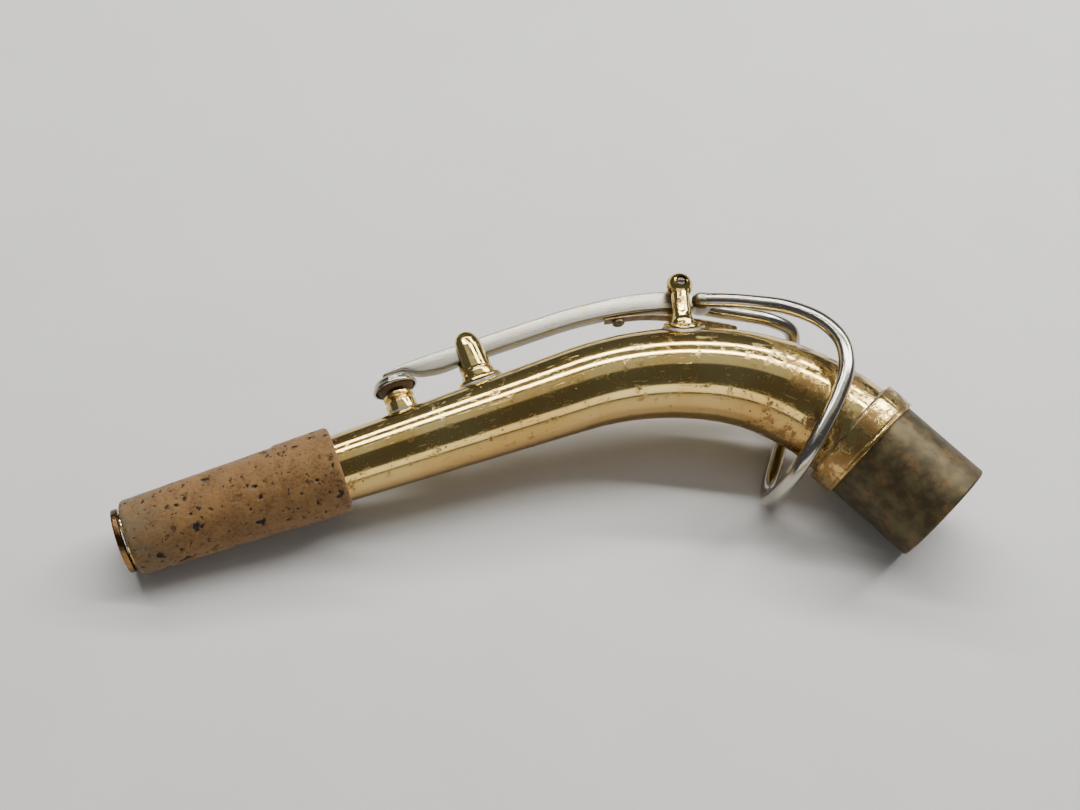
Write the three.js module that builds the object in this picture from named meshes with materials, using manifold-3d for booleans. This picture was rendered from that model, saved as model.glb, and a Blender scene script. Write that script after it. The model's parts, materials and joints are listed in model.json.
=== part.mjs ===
// Alto saxophone neck with its octave key, in millimetres.
//
// The neck is a conical brass tube bent in one plane. Every place on it is given by its station s, the
// distance along the tube's centre line from the tip, its height h over that line in the plane of the
// bend, and its side y, square to that plane. The octave key lies over the top of the tube and turns on
// one screw between two posts. Its pad closes the octave pip, and its rod loop goes round the tube.

import * as THREE from 'three';
import { mergeVertices } from 'three/addons/utils/BufferGeometryUtils.js';
import Module from 'manifold-3d';

const wasm = await Module();
wasm.setup();

const deg = THREE.MathUtils.degToRad;

// ---- driving dimensions (mm, degrees) ----

const CLEARANCE = 0.3; // gap between two pieces that meet
const ROUND = 36; // facets round the tube
const SMALL_ROUND = 24; // facets round a small turned piece

// Centre line: a straight run that rises, two sweeps of different radius, and the tenon's straight run.
const LINE = {
  rise: deg(21.2),
  straight: 100.6,
  sweeps: [
    { radius: 71.6, turn: deg(25.9) },
    { radius: 47.4, turn: deg(39.6) },
  ],
};

const TUBE = { start: 1.6, end: 168.5, wall: 0.8, cone: [[0, 6.2], [48, 7.3], [170, 11.75]] };
const TIP = { length: 1.3, radius: 6.8 };
const CORK = {
  start: 1.9, end: 46.5, startRadius: 7.95, endRadius: 9.3, edge: 0.8,
  stepAt: 34, stepRadius: 8.75, step: 0.3,
};
const TENON = { start: 168.9, end: 191.2, radius: 12.2, wall: 1.0 };
const COLLAR = { start: 164.6, end: 170.6, radius: 13.1, seat: 168.7, chamfer: 0.35 };

const PIP = { at: 63.3, bore: 1.2, radius: 3.35, top: 12.65 };
const CUP = { radius: 4.85, wall: 0.45, rim: 13.2, crown: 16.2 };
const PAD = { face: 12.95, radius: 4.05, skin: 0.3, felt: 0.9, card: 0.5 };

const GUIDE = {
  at: 81.4, saddleLength: 10, saddleWidth: 7.6, saddle: 1.5,
  foot: 3.8, radius: 3.5, slotFloor: 13.3, slot: 3.5,
};
const ARM = { width: 3.0, bevel: 0.3, end: 128.7, springSeat: 14.6 };
const HINGE = {
  at: 124.8, height: 19.6, postSide: 4.0, ball: 2.95, stem: 2.0, stemFoot: 2.5, screw: 0.95, bore: 1.25,
};
const POST_FOOT = { radius: 3.8, thickness: 1.2 };
const HINGE_TUBE = { radius: 2.1, length: 3.5 };
const SPRING_PLATE = { thickness: 1.1, from: 129.4, to: 135.6, width: 6.0 };

const ROD = { radius: 1.7, sides: 12, steps: 96 };
const SPRING = { from: 110.6, to: 135.0, width: 2.6, thickness: 0.4, screwAt: 113.2, hole: 1.1 };
const SPRING_SCREW = { head: 1.4, headHeight: 0.9, shank: 0.8, reach: 2.0 };

// Where the loop's rod runs: station, side, height. Both ends are brazed to the arm, side by side.
const LOOP = [
  [129.0, -1.85, 17.2], [133.0, -2.9, 17.1], [137.5, -4.4, 16.9], [143.0, -7.4, 16.2], [148.7, -11.3, 13.7],
  [153.1, -13.8, 9.9], [156.3, -14.7, 4.3], [157.9, -14.7, -2.0], [159.0, -14.1, -8.6], [160.1, -12.2, -15.2],
  [160.5, -8.2, -19.7], [160.2, -2.5, -22.0], [159.5, 3.0, -22.4], [158.3, 8.7, -20.8], [156.3, 12.8, -16.4],
  [154.5, 14.5, -9.6], [152.9, 14.8, -2.2], [151.2, 14.6, 4.6], [149.3, 13.8, 11.0], [147.6, 11.3, 16.2],
  [146.0, 7.6, 18.9], [142.2, 4.8, 18.5], [137.5, 3.7, 17.7], [133.0, 2.8, 17.2], [129.0, 1.85, 17.2],
];

// How the neck lies: it leans back until the cork's end, the tenon's rim and the loop all touch the table.
const LEAN = deg(74.46);
const NOSE = deg(-0.56);

// ---- materials ----

/** One material slot. */
function finish(color, roughness, metalness) {
  return new THREE.MeshStandardMaterial({ color, roughness, metalness });
}

const brass = finish(0xb89b52, 0.25, 1);
const tarnishedBrass = finish(0x4f4222, 0.55, 0.8);
const nickel = finish(0xb9b4a8, 0.3, 1);
const bronze = finish(0x6b5836, 0.4, 0.9);
const steel = finish(0x4a4136, 0.45, 0.9);
const corkBark = finish(0x9c7446, 0.95, 0);
const leather = finish(0x4a3524, 0.8, 0);
const felt = finish(0xd9d2c0, 1, 0);
const card = finish(0xb09a78, 0.95, 0);

// ---- the centre line ----

/** The point of the centre line at station s, with the directions ahead along it and above it. */
function centreLine(s) {
  const point = new THREE.Vector3();
  let rise = LINE.rise;
  let left = s;
  const ahead = () => new THREE.Vector3(Math.cos(rise), 0, Math.sin(rise));
  const above = () => new THREE.Vector3(-Math.sin(rise), 0, Math.cos(rise));
  const first = Math.min(left, LINE.straight);
  point.addScaledVector(ahead(), first);
  left -= first;
  for (const { radius, turn } of LINE.sweeps) {
    const run = Math.min(left, radius * turn);
    point.addScaledVector(above(), -radius);
    rise -= run / radius;
    point.addScaledVector(above(), radius);
    left -= run;
  }
  point.addScaledVector(ahead(), left);
  return { point, ahead: ahead(), above: above() };
}

/** The frame at station s: X ahead along the tube, Y to the side, Z up from the centre line. */
function stationMatrix(s) {
  const { point, ahead, above } = centreLine(s);
  const side = new THREE.Vector3(0, 1, 0);
  return new THREE.Matrix4().makeBasis(ahead, side, above).setPosition(point);
}

/** The point at station s, side y and height h. */
function onNeck(s, y, h) {
  return new THREE.Vector3(0, y, h).applyMatrix4(stationMatrix(s));
}

/** The tube's outer radius at station s. */
function tubeRadius(s) {
  const cone = TUBE.cone;
  const i = Math.max(1, cone.findIndex(([station]) => s <= station));
  const [[s0, r0], [s1, r1]] = [cone[i - 1], cone[i]];
  return r0 + ((r1 - r0) * (s - s0)) / (s1 - s0);
}

/** Stations from one to another, close together only where the tube bends. */
function stationsBetween(from, to) {
  const bendStart = LINE.straight;
  const bendEnd = LINE.sweeps.reduce((sum, { radius, turn }) => sum + radius * turn, bendStart);
  const step = 2.8;
  const inBend = [];
  for (let s = bendStart; s < bendEnd; s += step) inBend.push(s);
  const knots = [from, TUBE.cone[1][0], ...inBend, bendEnd, to];
  return [...new Set(knots)].filter((s) => s >= from && s <= to).sort((a, b) => a - b);
}

// ---- geometry helpers ----

/** The geometry as one closed body that faces out: shared vertices merged, turned over if inside out. */
function closed(geometry) {
  const bare = geometry.clone();
  bare.deleteAttribute('normal');
  bare.deleteAttribute('uv');
  const merged = mergeVertices(bare, 1e-4);
  const index = merged.index.array;
  const kept = [];
  const corners = [new THREE.Vector3(), new THREE.Vector3(), new THREE.Vector3()];
  let volume = 0;
  for (let i = 0; i < index.length; i += 3) {
    const triangle = [index[i], index[i + 1], index[i + 2]];
    if (new Set(triangle).size < 3) continue;
    triangle.forEach((vertex, k) => corners[k].fromBufferAttribute(merged.attributes.position, vertex));
    volume += corners[0].dot(corners[1].cross(corners[2]));
    kept.push(...triangle);
  }
  if (volume < 0) kept.reverse();
  merged.setIndex(kept);
  return merged;
}

/** A geometry as a manifold solid. */
function solid(geometry) {
  const body = closed(geometry);
  const vertProperties = new Float32Array(body.attributes.position.array);
  const triVerts = new Uint32Array(body.index.array);
  return new wasm.Manifold(new wasm.Mesh({ numProp: 3, vertProperties, triVerts }));
}

/** A manifold solid as a geometry. */
function geometryOf(manifold) {
  const { vertProperties, triVerts } = manifold.getMesh();
  const geometry = new THREE.BufferGeometry();
  geometry.setAttribute('position', new THREE.BufferAttribute(vertProperties, 3));
  geometry.setIndex(new THREE.BufferAttribute(triVerts, 1));
  return geometry;
}

/** A turned solid about the local Z axis, from [radius, height] pairs. */
function turned(profile) {
  const points = profile.map(([r, z]) => new THREE.Vector2(r, z));
  return closed(new THREE.LatheGeometry(points, SMALL_ROUND).rotateX(Math.PI / 2));
}

/** A turned solid bent along the neck, from a closed outline of [station, radius] pairs. */
function turnedOnNeck(outline) {
  const points = [...outline, outline[0]].map(([s, r]) => new THREE.Vector2(r, s));
  const geometry = new THREE.LatheGeometry(points, ROUND);
  const position = geometry.attributes.position;
  for (let i = 0; i < position.count; i++) {
    const bent = onNeck(position.getY(i), -position.getX(i), position.getZ(i));
    position.setXYZ(i, bent.x, bent.y, bent.z);
  }
  return closed(geometry);
}

/** A flat bar on edge that follows the neck: top and bottom are curves of [station, height] pairs. */
function barOnNeck(top, bottom, width, bevel, samples) {
  const trace = (pairs) =>
    new THREE.SplineCurve(pairs.map(([s, h]) => new THREE.Vector2(s, h))).getPoints(samples);
  const outline = [...trace(top), ...trace(bottom).reverse()].map(({ x: s, y: h }) => {
    const place = onNeck(s, 0, h);
    return new THREE.Vector2(place.x, place.z);
  });
  const depth = width - 2 * bevel;
  const geometry = new THREE.ExtrudeGeometry(new THREE.Shape(outline), {
    depth,
    steps: 1,
    bevelEnabled: bevel > 0,
    bevelSegments: 2,
    bevelSize: bevel,
    bevelThickness: bevel,
    bevelOffset: -bevel,
  });
  geometry.translate(0, 0, -depth / 2).rotateX(Math.PI / 2);
  return closed(geometry);
}

/** A cylinder along the local Z axis, from one height to another. */
function drill(radius, from, to) {
  return turned([[0, from], [radius, from], [radius, to], [0, to]]);
}

/** A cylinder along the local Y axis, from one side to another. */
function crossDrill(radius, from, to) {
  return drill(radius, from, to).rotateX(-Math.PI / 2);
}

/** The tube's outside, grown by a margin, as a solid tool seen from the frame at station s. */
function tubeTool(margin, s) {
  const [from, to] = [s - 18, Math.min(s + 18, TUBE.end)];
  const outer = stationsBetween(from, to).map((station) => [station, tubeRadius(station) + margin]);
  const tool = turnedOnNeck([[from, 0], ...outer, [to, 0]]);
  return solid(tool.applyMatrix4(stationMatrix(s).invert()));
}

/** A plate that hugs the tube: what of the blank lies within the given thickness over the tube. */
function saddle(blank, thickness, s) {
  return blank.intersect(tubeTool(thickness, s)).subtract(tubeTool(CLEARANCE, s));
}

// ---- the neck ----

/** The conical tube, open at both ends, with the octave vent drilled through its top. */
function neckTube() {
  const stations = stationsBetween(TUBE.start, TUBE.end);
  const outside = stations.map((s) => [s, tubeRadius(s)]);
  const inside = stations.map((s) => [s, tubeRadius(s) - TUBE.wall]).reverse();
  const vent = drill(PIP.bore, 0, 2 * PIP.top).applyMatrix4(stationMatrix(PIP.at));
  return geometryOf(solid(turnedOnNeck([...outside, ...inside])).subtract(solid(vent)));
}

/** The thick ring on the tip, its outer edge rounded. */
function tipRing() {
  const bore = tubeRadius(0) - TUBE.wall;
  const edge = 0.35;
  return turnedOnNeck([
    [0, bore], [0, TIP.radius - edge], [edge, TIP.radius], [TIP.length - edge, TIP.radius],
    [TIP.length, TIP.radius - edge], [TIP.length, bore],
  ]);
}

/** The cork sleeve: a slow taper, pressed in by a mouthpiece up to the small step. */
function neckCork() {
  const { start, end, startRadius, stepAt, stepRadius, step, endRadius, edge } = CORK;
  const bore = (s) => tubeRadius(s) + CLEARANCE;
  return turnedOnNeck([
    [start, bore(start)], [start, startRadius - edge], [start + edge / 3, startRadius - edge / 3],
    [start + edge, startRadius], [stepAt, stepRadius], [stepAt + 1, stepRadius + step],
    [end - edge, endRadius], [end - edge / 3, endRadius - edge / 3], [end, endRadius - edge],
    [end, bore(end)],
  ]);
}

/** The sleeve that goes into the body of the saxophone. */
function tenonSleeve() {
  const { start, end, radius, wall } = TENON;
  const edge = 0.3;
  return turnedOnNeck([
    [start, radius - wall], [start, radius], [end - edge, radius], [end, radius - edge],
    [end, radius - wall + edge], [end - edge, radius - wall],
  ]);
}

/** The band that joins tube and tenon. Its far face is the shoulder that meets the body. */
function tenonCollar() {
  const { start, end, radius, seat, chamfer } = COLLAR;
  const overTube = tubeRadius(seat) + CLEARANCE;
  const overTenon = TENON.radius + CLEARANCE;
  return turnedOnNeck([
    [start, overTube], [start, radius - chamfer], [start + chamfer, radius], [end - chamfer, radius],
    [end, radius - chamfer], [end, overTenon], [seat, overTenon], [seat, overTube],
  ]);
}

/** The octave pip: a small chimney over the vent, its foot shaped to the tube. */
function octavePip() {
  const { bore, radius, top, at } = PIP;
  const foot = tubeRadius(at) - 1.2;
  const chimney = turned([
    [bore, foot], [radius, foot], [radius, top - 2.8], [radius - 0.4, top - 2.4], [radius - 0.4, top - 2.0],
    [radius, top - 1.7], [radius, top - 1.0], [radius - 0.8, top - 0.4], [radius - 1.2, top],
    [bore + 0.5, top], [bore, top - 0.4], [bore, foot],
  ]);
  return geometryOf(solid(chimney).subtract(tubeTool(CLEARANCE, at)));
}

/** The plate under the key guide. */
function guideSaddle() {
  const { at, saddleLength, saddleWidth, saddle: thickness } = GUIDE;
  const height = 2 * tubeRadius(at);
  const disc = solid(drill(saddleLength / 2, 0, height));
  const strip = new THREE.BoxGeometry(saddleLength, saddleWidth, height).translate(0, 0, height / 2);
  return geometryOf(saddle(disc.intersect(solid(strip)), thickness, at));
}

/** The key guide: a bullet-shaped post on a foot, slotted along the tube for the arm. */
function guidePost() {
  const { at, foot, radius, slotFloor, slot, saddle: thickness } = GUIDE;
  const bullet = turned([
    [0, 6], [foot, 6], [foot, 10.8], [foot - 0.2, 11.05], [radius + 0.05, 11.1], [radius - 0.1, 17],
    [radius - 0.4, 18.6], [radius - 0.8, 19.6], [radius - 1.3, 20.3], [radius - 1.9, 20.8], [0, 21.1],
  ]);
  const cut = new THREE.BoxGeometry(4 * radius, slot, 10).translate(0, 0, slotFloor + 5);
  return geometryOf(solid(bullet).subtract(tubeTool(thickness + CLEARANCE, at)).subtract(solid(cut)));
}

/** The wear plate on the tube that the flat spring's free end slides on. */
function springPlate() {
  const { thickness, from, to, width } = SPRING_PLATE;
  const middle = (from + to) / 2;
  const height = 2 * tubeRadius(middle);
  const blank = new THREE.BoxGeometry(to - from, width, height).translate(0, 0, height / 2);
  return geometryOf(saddle(solid(blank), thickness, middle));
}

/** A hinge post: a round foot that hugs the tube, a stem, and a drilled ball, flat where it faces the key. */
function hingePost(side) {
  const { at, height, ball, stem, stemFoot, bore, postSide } = HINGE;
  const start = Math.PI - Math.asin(stem / ball);
  const dome = [];
  for (let i = 0; i <= 8; i++) {
    const angle = start * (1 - i / 8);
    dome.push([Math.max(0, ball * Math.sin(angle)), height + ball * Math.cos(angle)]);
  }
  const stemAndBall = turned([[0, 3], [stemFoot, 3], [stemFoot, 11.2], ...dome]);
  const footBlank = drill(POST_FOOT.radius, 0, height).translate(0, side * postSide, 0);
  const foot = saddle(solid(footBlank), POST_FOOT.thickness, at);
  const hole = crossDrill(bore, -10, 10).translate(0, 0, height);
  const gap = HINGE_TUBE.length + 2 * CLEARANCE;
  const keySpace = new THREE.BoxGeometry(4 * ball, gap, 3 * ball).translate(0, 0, height);
  const standing = solid(stemAndBall.translate(0, side * postSide, 0))
    .subtract(tubeTool(CLEARANCE, at))
    .add(foot);
  return geometryOf(standing.subtract(solid(hole)).subtract(solid(keySpace)));
}

/** The hinge screw, its slotted end sunk in the ball of the near post. */
function hingeScrew() {
  const { screw, postSide, ball } = HINGE;
  const nearEnd = -(postSide + ball - 0.6);
  const farEnd = postSide + ball - 1.2;
  const rod = solid(crossDrill(screw, nearEnd, farEnd));
  const slot = new THREE.BoxGeometry(4 * screw, 1, 0.4).translate(0, nearEnd, 0);
  return geometryOf(rod.subtract(solid(slot)));
}

// ---- the octave key ----

/** The key's arm: a flat bar on edge from the pad cup, through the guide and under the hinge tube. */
function keyArm() {
  const overCup = CUP.crown + CLEARANCE;
  const top = [
    [61.6, overCup + 0.75], [64, overCup + 1.1], [66.5, 17.95], [70, 18.2], [78, 18.3], [94, 18.55],
    [110, 18.85], [118, 19.4], [124, 19.5], [ARM.end, 18.9],
  ];
  const bottom = [
    [61.6, overCup], [64.5, overCup + 0.05], [66.6, overCup - 0.1], [68.8, 14.9], [72, 14.1], [80, 14.15],
    [94, 14.35], [110, ARM.springSeat], [118, 14.85], [124, 15.0], [ARM.end, 15.5],
  ];
  const bar = solid(barOnNeck(top, bottom, ARM.width, ARM.bevel, 34));
  const barrelRadius = HINGE_TUBE.radius + CLEARANCE;
  const barrel = crossDrill(barrelRadius, -ARM.width, ARM.width).translate(0, 0, HINGE.height);
  const tapping = drill(SPRING.hole, 12, ARM.springSeat + SPRING_SCREW.reach + CLEARANCE);
  return geometryOf(
    bar
      .subtract(solid(barrel.applyMatrix4(stationMatrix(HINGE.at))))
      .subtract(solid(tapping.applyMatrix4(stationMatrix(SPRING.screwAt)))),
  );
}

/** The hinge tube that is brazed across the arm, bored for the screw. */
function hingeTube() {
  const { radius, length } = HINGE_TUBE;
  const half = length / 2;
  const { bore } = HINGE;
  const wall = [[bore, -half], [radius, -half], [radius, half], [bore, half], [bore, -half]];
  return turned(wall).rotateX(-Math.PI / 2);
}

/** The loop: one round rod from the arm, round the tube and back to the arm. */
function keyLoop() {
  const path = new THREE.CatmullRomCurve3(LOOP.map(([s, y, h]) => onNeck(s, y, h)));
  const section = new THREE.Shape();
  for (let i = 0; i < ROD.sides; i++) {
    const angle = (i / ROD.sides) * 2 * Math.PI;
    const corner = [ROD.radius * Math.cos(angle), ROD.radius * Math.sin(angle)];
    if (i === 0) section.moveTo(...corner);
    else section.lineTo(...corner);
  }
  const options = { steps: ROD.steps, bevelEnabled: false, extrudePath: path };
  return closed(new THREE.ExtrudeGeometry(section, options));
}

/** The pad cup, hollow below, with a rolled rim. */
function padCup() {
  const { radius, wall, rim, crown } = CUP;
  const roof = crown - 0.8;
  return turned([
    [0, crown], [1.8, crown - 0.12], [3.3, crown - 0.55], [4.3, crown - 1.25], [radius - 0.1, rim + 1.3],
    [radius, rim + 0.8], [radius - 0.05, rim + 0.25], [radius - 0.25, rim], [radius - wall, rim + 0.15],
    [radius - wall, roof - 0.5], [radius - wall - 0.5, roof], [0, roof],
  ]);
}

/** The pad's leather skin, wrapped up round the felt and open above it. */
function padSkin() {
  const { face, radius, skin } = PAD;
  const lip = face + 1.95;
  return turned([
    [0, face], [radius - 0.5, face], [radius - 0.1, face + 0.15], [radius, face + 0.5], [radius, lip],
    [radius - skin, lip], [radius - skin, face + 0.55], [radius - skin - 0.3, face + skin], [0, face + skin],
  ]);
}

/** A disc inside the pad, from one height up. */
function padDisc(from, thickness) {
  return drill(PAD.radius - PAD.skin - CLEARANCE, from, from + thickness);
}

/** The flat spring under the arm. Its free end bears on the wear plate. */
function keySpring() {
  const { from, to, width, thickness, screwAt, hole } = SPRING;
  const underArm = ARM.springSeat - CLEARANCE;
  const onPlate = tubeRadius(to) + SPRING_PLATE.thickness + CLEARANCE + thickness;
  const middle = (screwAt + to) / 2;
  const top = [
    [from, underArm], [screwAt, underArm], [screwAt + 4, underArm - 0.05],
    [middle, (underArm + onPlate) / 2 + 0.35], [to - 5, onPlate + 0.35], [to, onPlate],
  ];
  const bottom = top.map(([s, h]) => [s, h - thickness]);
  const strip = solid(barOnNeck(top, bottom, width, 0, 16));
  const screwHole = drill(hole, 12, 16).applyMatrix4(stationMatrix(screwAt));
  return geometryOf(strip.subtract(solid(screwHole)));
}

/** The screw that holds the flat spring under the arm, its slotted head downward. */
function springScrew() {
  const { head, headHeight, shank, reach } = SPRING_SCREW;
  const underSpring = ARM.springSeat - 2 * CLEARANCE - SPRING.thickness;
  const base = underSpring - headHeight;
  const screw = turned([
    [0, base], [head - 0.3, base], [head, base + 0.3], [head, underSpring], [shank, underSpring],
    [shank, ARM.springSeat + reach], [0, ARM.springSeat + reach],
  ]);
  const slot = new THREE.BoxGeometry(4 * head, 0.45, 0.7).translate(0, 0, base);
  return geometryOf(solid(screw).subtract(solid(slot)));
}

// ---- assembly ----

/** Adds one named piece to a group. */
function add(parent, name, geometry, material) {
  const mesh = new THREE.Mesh(geometry, material);
  mesh.name = name;
  parent.add(mesh);
}

/** A group whose frame stands at station s, added to its parent. */
function standAt(parent, s) {
  const group = new THREE.Group();
  group.applyMatrix4(stationMatrix(s));
  parent.add(group);
  return group;
}

const neck = new THREE.Group();
add(neck, 'neck_tube', neckTube(), brass);
add(neck, 'tip_ring', tipRing(), brass);
add(neck, 'neck_cork', neckCork(), corkBark);
add(neck, 'tenon_collar', tenonCollar(), brass);
add(neck, 'tenon_sleeve', tenonSleeve(), tarnishedBrass);

const pipPlace = standAt(neck, PIP.at);
add(pipPlace, 'octave_pip', octavePip(), brass);

const guidePlace = standAt(neck, GUIDE.at);
add(guidePlace, 'guide_saddle', guideSaddle(), brass);
add(guidePlace, 'guide_post', guidePost(), brass);

const hingePlace = standAt(neck, HINGE.at);
add(hingePlace, 'hinge_post_near', hingePost(-1), brass);
add(hingePlace, 'hinge_post_far', hingePost(1), brass);

const platePlace = standAt(neck, (SPRING_PLATE.from + SPRING_PLATE.to) / 2);
add(platePlace, 'spring_plate', springPlate(), brass);

const hingeLine = new THREE.Group();
hingeLine.position.z = HINGE.height;
hingePlace.add(hingeLine);
add(hingeLine, 'hinge_screw', hingeScrew(), steel);

const key = new THREE.Group();
neck.add(key);
add(key, 'key_arm', keyArm(), nickel);
add(key, 'key_loop', keyLoop(), nickel);
add(key, 'key_spring', keySpring(), bronze);
add(hingeLine, 'hinge_tube', hingeTube(), nickel);
add(standAt(key, SPRING.screwAt), 'spring_screw', springScrew(), steel);

const padPlace = standAt(key, PIP.at);
const feltFrom = PAD.face + PAD.skin + CLEARANCE;
add(padPlace, 'pad_cup', padCup(), nickel);
add(padPlace, 'pad_skin', padSkin(), leather);
add(padPlace, 'pad_felt', padDisc(feltFrom, PAD.felt), felt);
add(padPlace, 'pad_card', padDisc(feltFrom + PAD.felt + CLEARANCE, PAD.card), card);

// The neck lies down, and the origin goes to the middle of its footprint on the table.
neck.rotation.set(-LEAN, NOSE, 0, 'YXZ');
const group = new THREE.Group();
group.add(neck);
group.updateMatrixWorld(true);
const extent = new THREE.Box3().setFromObject(group, true);
const middle = extent.getCenter(new THREE.Vector3());
neck.position.set(-middle.x, -middle.y, -extent.min.z);

export default group;
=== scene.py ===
"""An alto saxophone neck with its octave key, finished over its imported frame.

Sizes are in millimetres up to the point where a mesh is made, and meshes are in metres. A place on the
neck is given by its station s along the centre line from the tip, its side y, and its height h over the
centre line in the plane of the bend.
"""

import json
import logging
import math
from collections.abc import Callable, Sequence
from dataclasses import dataclass
from enum import Enum

import bmesh
import bpy
import numpy as np
from mathutils import Matrix, Vector

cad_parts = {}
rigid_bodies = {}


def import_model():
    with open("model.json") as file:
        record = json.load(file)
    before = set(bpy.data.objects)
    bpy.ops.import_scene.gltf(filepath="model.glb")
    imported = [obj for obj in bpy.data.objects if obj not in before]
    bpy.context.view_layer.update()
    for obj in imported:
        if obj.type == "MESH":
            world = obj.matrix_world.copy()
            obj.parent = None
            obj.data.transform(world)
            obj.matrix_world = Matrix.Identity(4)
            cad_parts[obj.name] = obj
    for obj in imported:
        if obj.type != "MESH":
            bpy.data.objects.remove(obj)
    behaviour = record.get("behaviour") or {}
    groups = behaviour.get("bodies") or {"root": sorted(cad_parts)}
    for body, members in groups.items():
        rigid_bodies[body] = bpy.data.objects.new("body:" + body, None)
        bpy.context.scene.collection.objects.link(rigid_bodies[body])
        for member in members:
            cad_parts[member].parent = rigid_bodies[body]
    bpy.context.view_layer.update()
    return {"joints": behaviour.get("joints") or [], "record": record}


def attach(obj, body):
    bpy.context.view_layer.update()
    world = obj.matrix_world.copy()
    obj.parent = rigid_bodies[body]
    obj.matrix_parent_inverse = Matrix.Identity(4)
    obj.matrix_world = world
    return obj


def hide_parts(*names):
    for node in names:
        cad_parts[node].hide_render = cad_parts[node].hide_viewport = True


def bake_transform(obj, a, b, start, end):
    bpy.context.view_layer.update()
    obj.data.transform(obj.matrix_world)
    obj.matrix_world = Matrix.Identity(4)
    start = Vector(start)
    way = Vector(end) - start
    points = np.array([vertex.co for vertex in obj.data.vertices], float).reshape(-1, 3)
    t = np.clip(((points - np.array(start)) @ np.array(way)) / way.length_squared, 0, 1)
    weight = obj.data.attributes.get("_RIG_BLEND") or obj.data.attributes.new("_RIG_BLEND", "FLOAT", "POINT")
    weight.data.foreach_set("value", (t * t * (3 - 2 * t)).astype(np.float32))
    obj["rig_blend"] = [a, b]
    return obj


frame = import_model()
LOG = logging.getLogger("saxophone_neck")
MM = 0.001
Pair = tuple[float, float]
Triple = tuple[float, float, float]


class Body(Enum):
    """The two bodies that pieces ride on."""

    NECK = "neck"
    KEY = "octave_key"


class Slot(Enum):
    """The material slots of the record."""

    BRASS = "lacquered_brass"
    TARNISHED = "tarnished_brass"
    NICKEL = "nickel_plate"
    BRONZE = "spring_bronze"
    STEEL = "blued_steel"
    CORK = "cork_bark"
    LEATHER = "pad_leather"
    FELT = "pad_felt"
    CARD = "pad_card"


# ---- the neck's centre line ----


@dataclass(frozen=True)
class NeckLine:
    """The centre line of the neck, in the frame's millimetres.

    Attributes:
        rise: angle of the straight run over the neck's own level, in degrees.
        straight: length of the straight run from the tip.
        sweeps: radius and turn in degrees of each bend.
        cone: stations and outer radii of the tube.
        tip_mark: height over the centre line of the tip face's mark.
    """

    rise: float = 21.2
    straight: float = 100.6
    sweeps: tuple[Pair, ...] = ((71.6, 25.9), (47.4, 39.6))
    cone: tuple[Pair, ...] = ((0.0, 6.2), (48.0, 7.3), (170.0, 11.75))
    tip_mark: float = 6.0

    def lie(self) -> Matrix:
        """The matrix that lays the neck's own axes in the frame."""
        tip = next(m for m in frame["record"]["mounts"] if m["name"] == "tip_face")
        ahead = -Vector(tip["axis"]).normalized()
        side = Vector(frame["joints"][0]["axis"]).normalized()
        above = ahead.cross(side).normalized()
        origin = Vector(tip["pos_m"]) / MM - above * self.tip_mark
        a = math.radians(self.rise)
        level = ahead * math.cos(a) - above * math.sin(a)
        up = ahead * math.sin(a) + above * math.cos(a)
        return Matrix.Translation(origin) @ Matrix((level, side, up)).transposed().to_4x4()

    def at(self, s: float) -> Matrix:
        """The frame that stands at station s: X ahead, Y to the side, Z above.

        Args:
            s: station along the centre line.

        Returns:
            The matrix from that frame to the object's frame.
        """
        angle, left, point = math.radians(self.rise), s, Vector((0, 0, 0))
        run = min(left, self.straight)
        point += Vector((math.cos(angle), 0, math.sin(angle))) * run
        left -= run
        for radius, turn in self.sweeps:
            run = min(left, radius * math.radians(turn))
            point -= Vector((-math.sin(angle), 0, math.cos(angle))) * radius
            angle -= run / radius
            point += Vector((-math.sin(angle), 0, math.cos(angle))) * radius
            left -= run
        ahead = Vector((math.cos(angle), 0, math.sin(angle)))
        above = Vector((-math.sin(angle), 0, math.cos(angle)))
        point += ahead * left
        turned = Matrix((ahead, Vector((0, 1, 0)), above)).transposed().to_4x4()
        return LIE @ Matrix.Translation(point) @ turned

    def on(self, s: float, y: float, h: float) -> Vector:
        """The point at station s, side y and height h."""
        return self.at(s) @ Vector((0, y, h))

    def radius(self, s: float) -> float:
        """The tube's outer radius at station s."""
        stations, radii = zip(*self.cone)
        return float(np.interp(s, stations, radii))

    def unbend(self, points: np.ndarray) -> np.ndarray:
        """Gives each point its station, side and height.

        Args:
            points: rows of x, y and z in metres.

        Returns:
            Rows of s, y and h in millimetres.
        """
        stations = np.arange(-2.0, 194.0, 0.5)
        frames = np.array([self.at(max(s, 0.0)) for s in stations])
        best = np.zeros(len(points), int)
        far = np.full(len(points), 1e9)
        for i, centre in enumerate(frames[:, :3, 3]):
            gap = ((points / MM - centre) ** 2).sum(1)
            nearer = gap < far
            far[nearer] = gap[nearer]
            best[nearer] = i
        own = frames[best]
        offset = points / MM - own[:, :3, 3]
        local = np.einsum("nij,ni->nj", own[:, :3, :3], offset)
        local[:, 0] += np.maximum(stations[best], 0.0)
        return local


LINE = NeckLine()
LIE = LINE.lie()


# ---- mesh making ----


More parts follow.
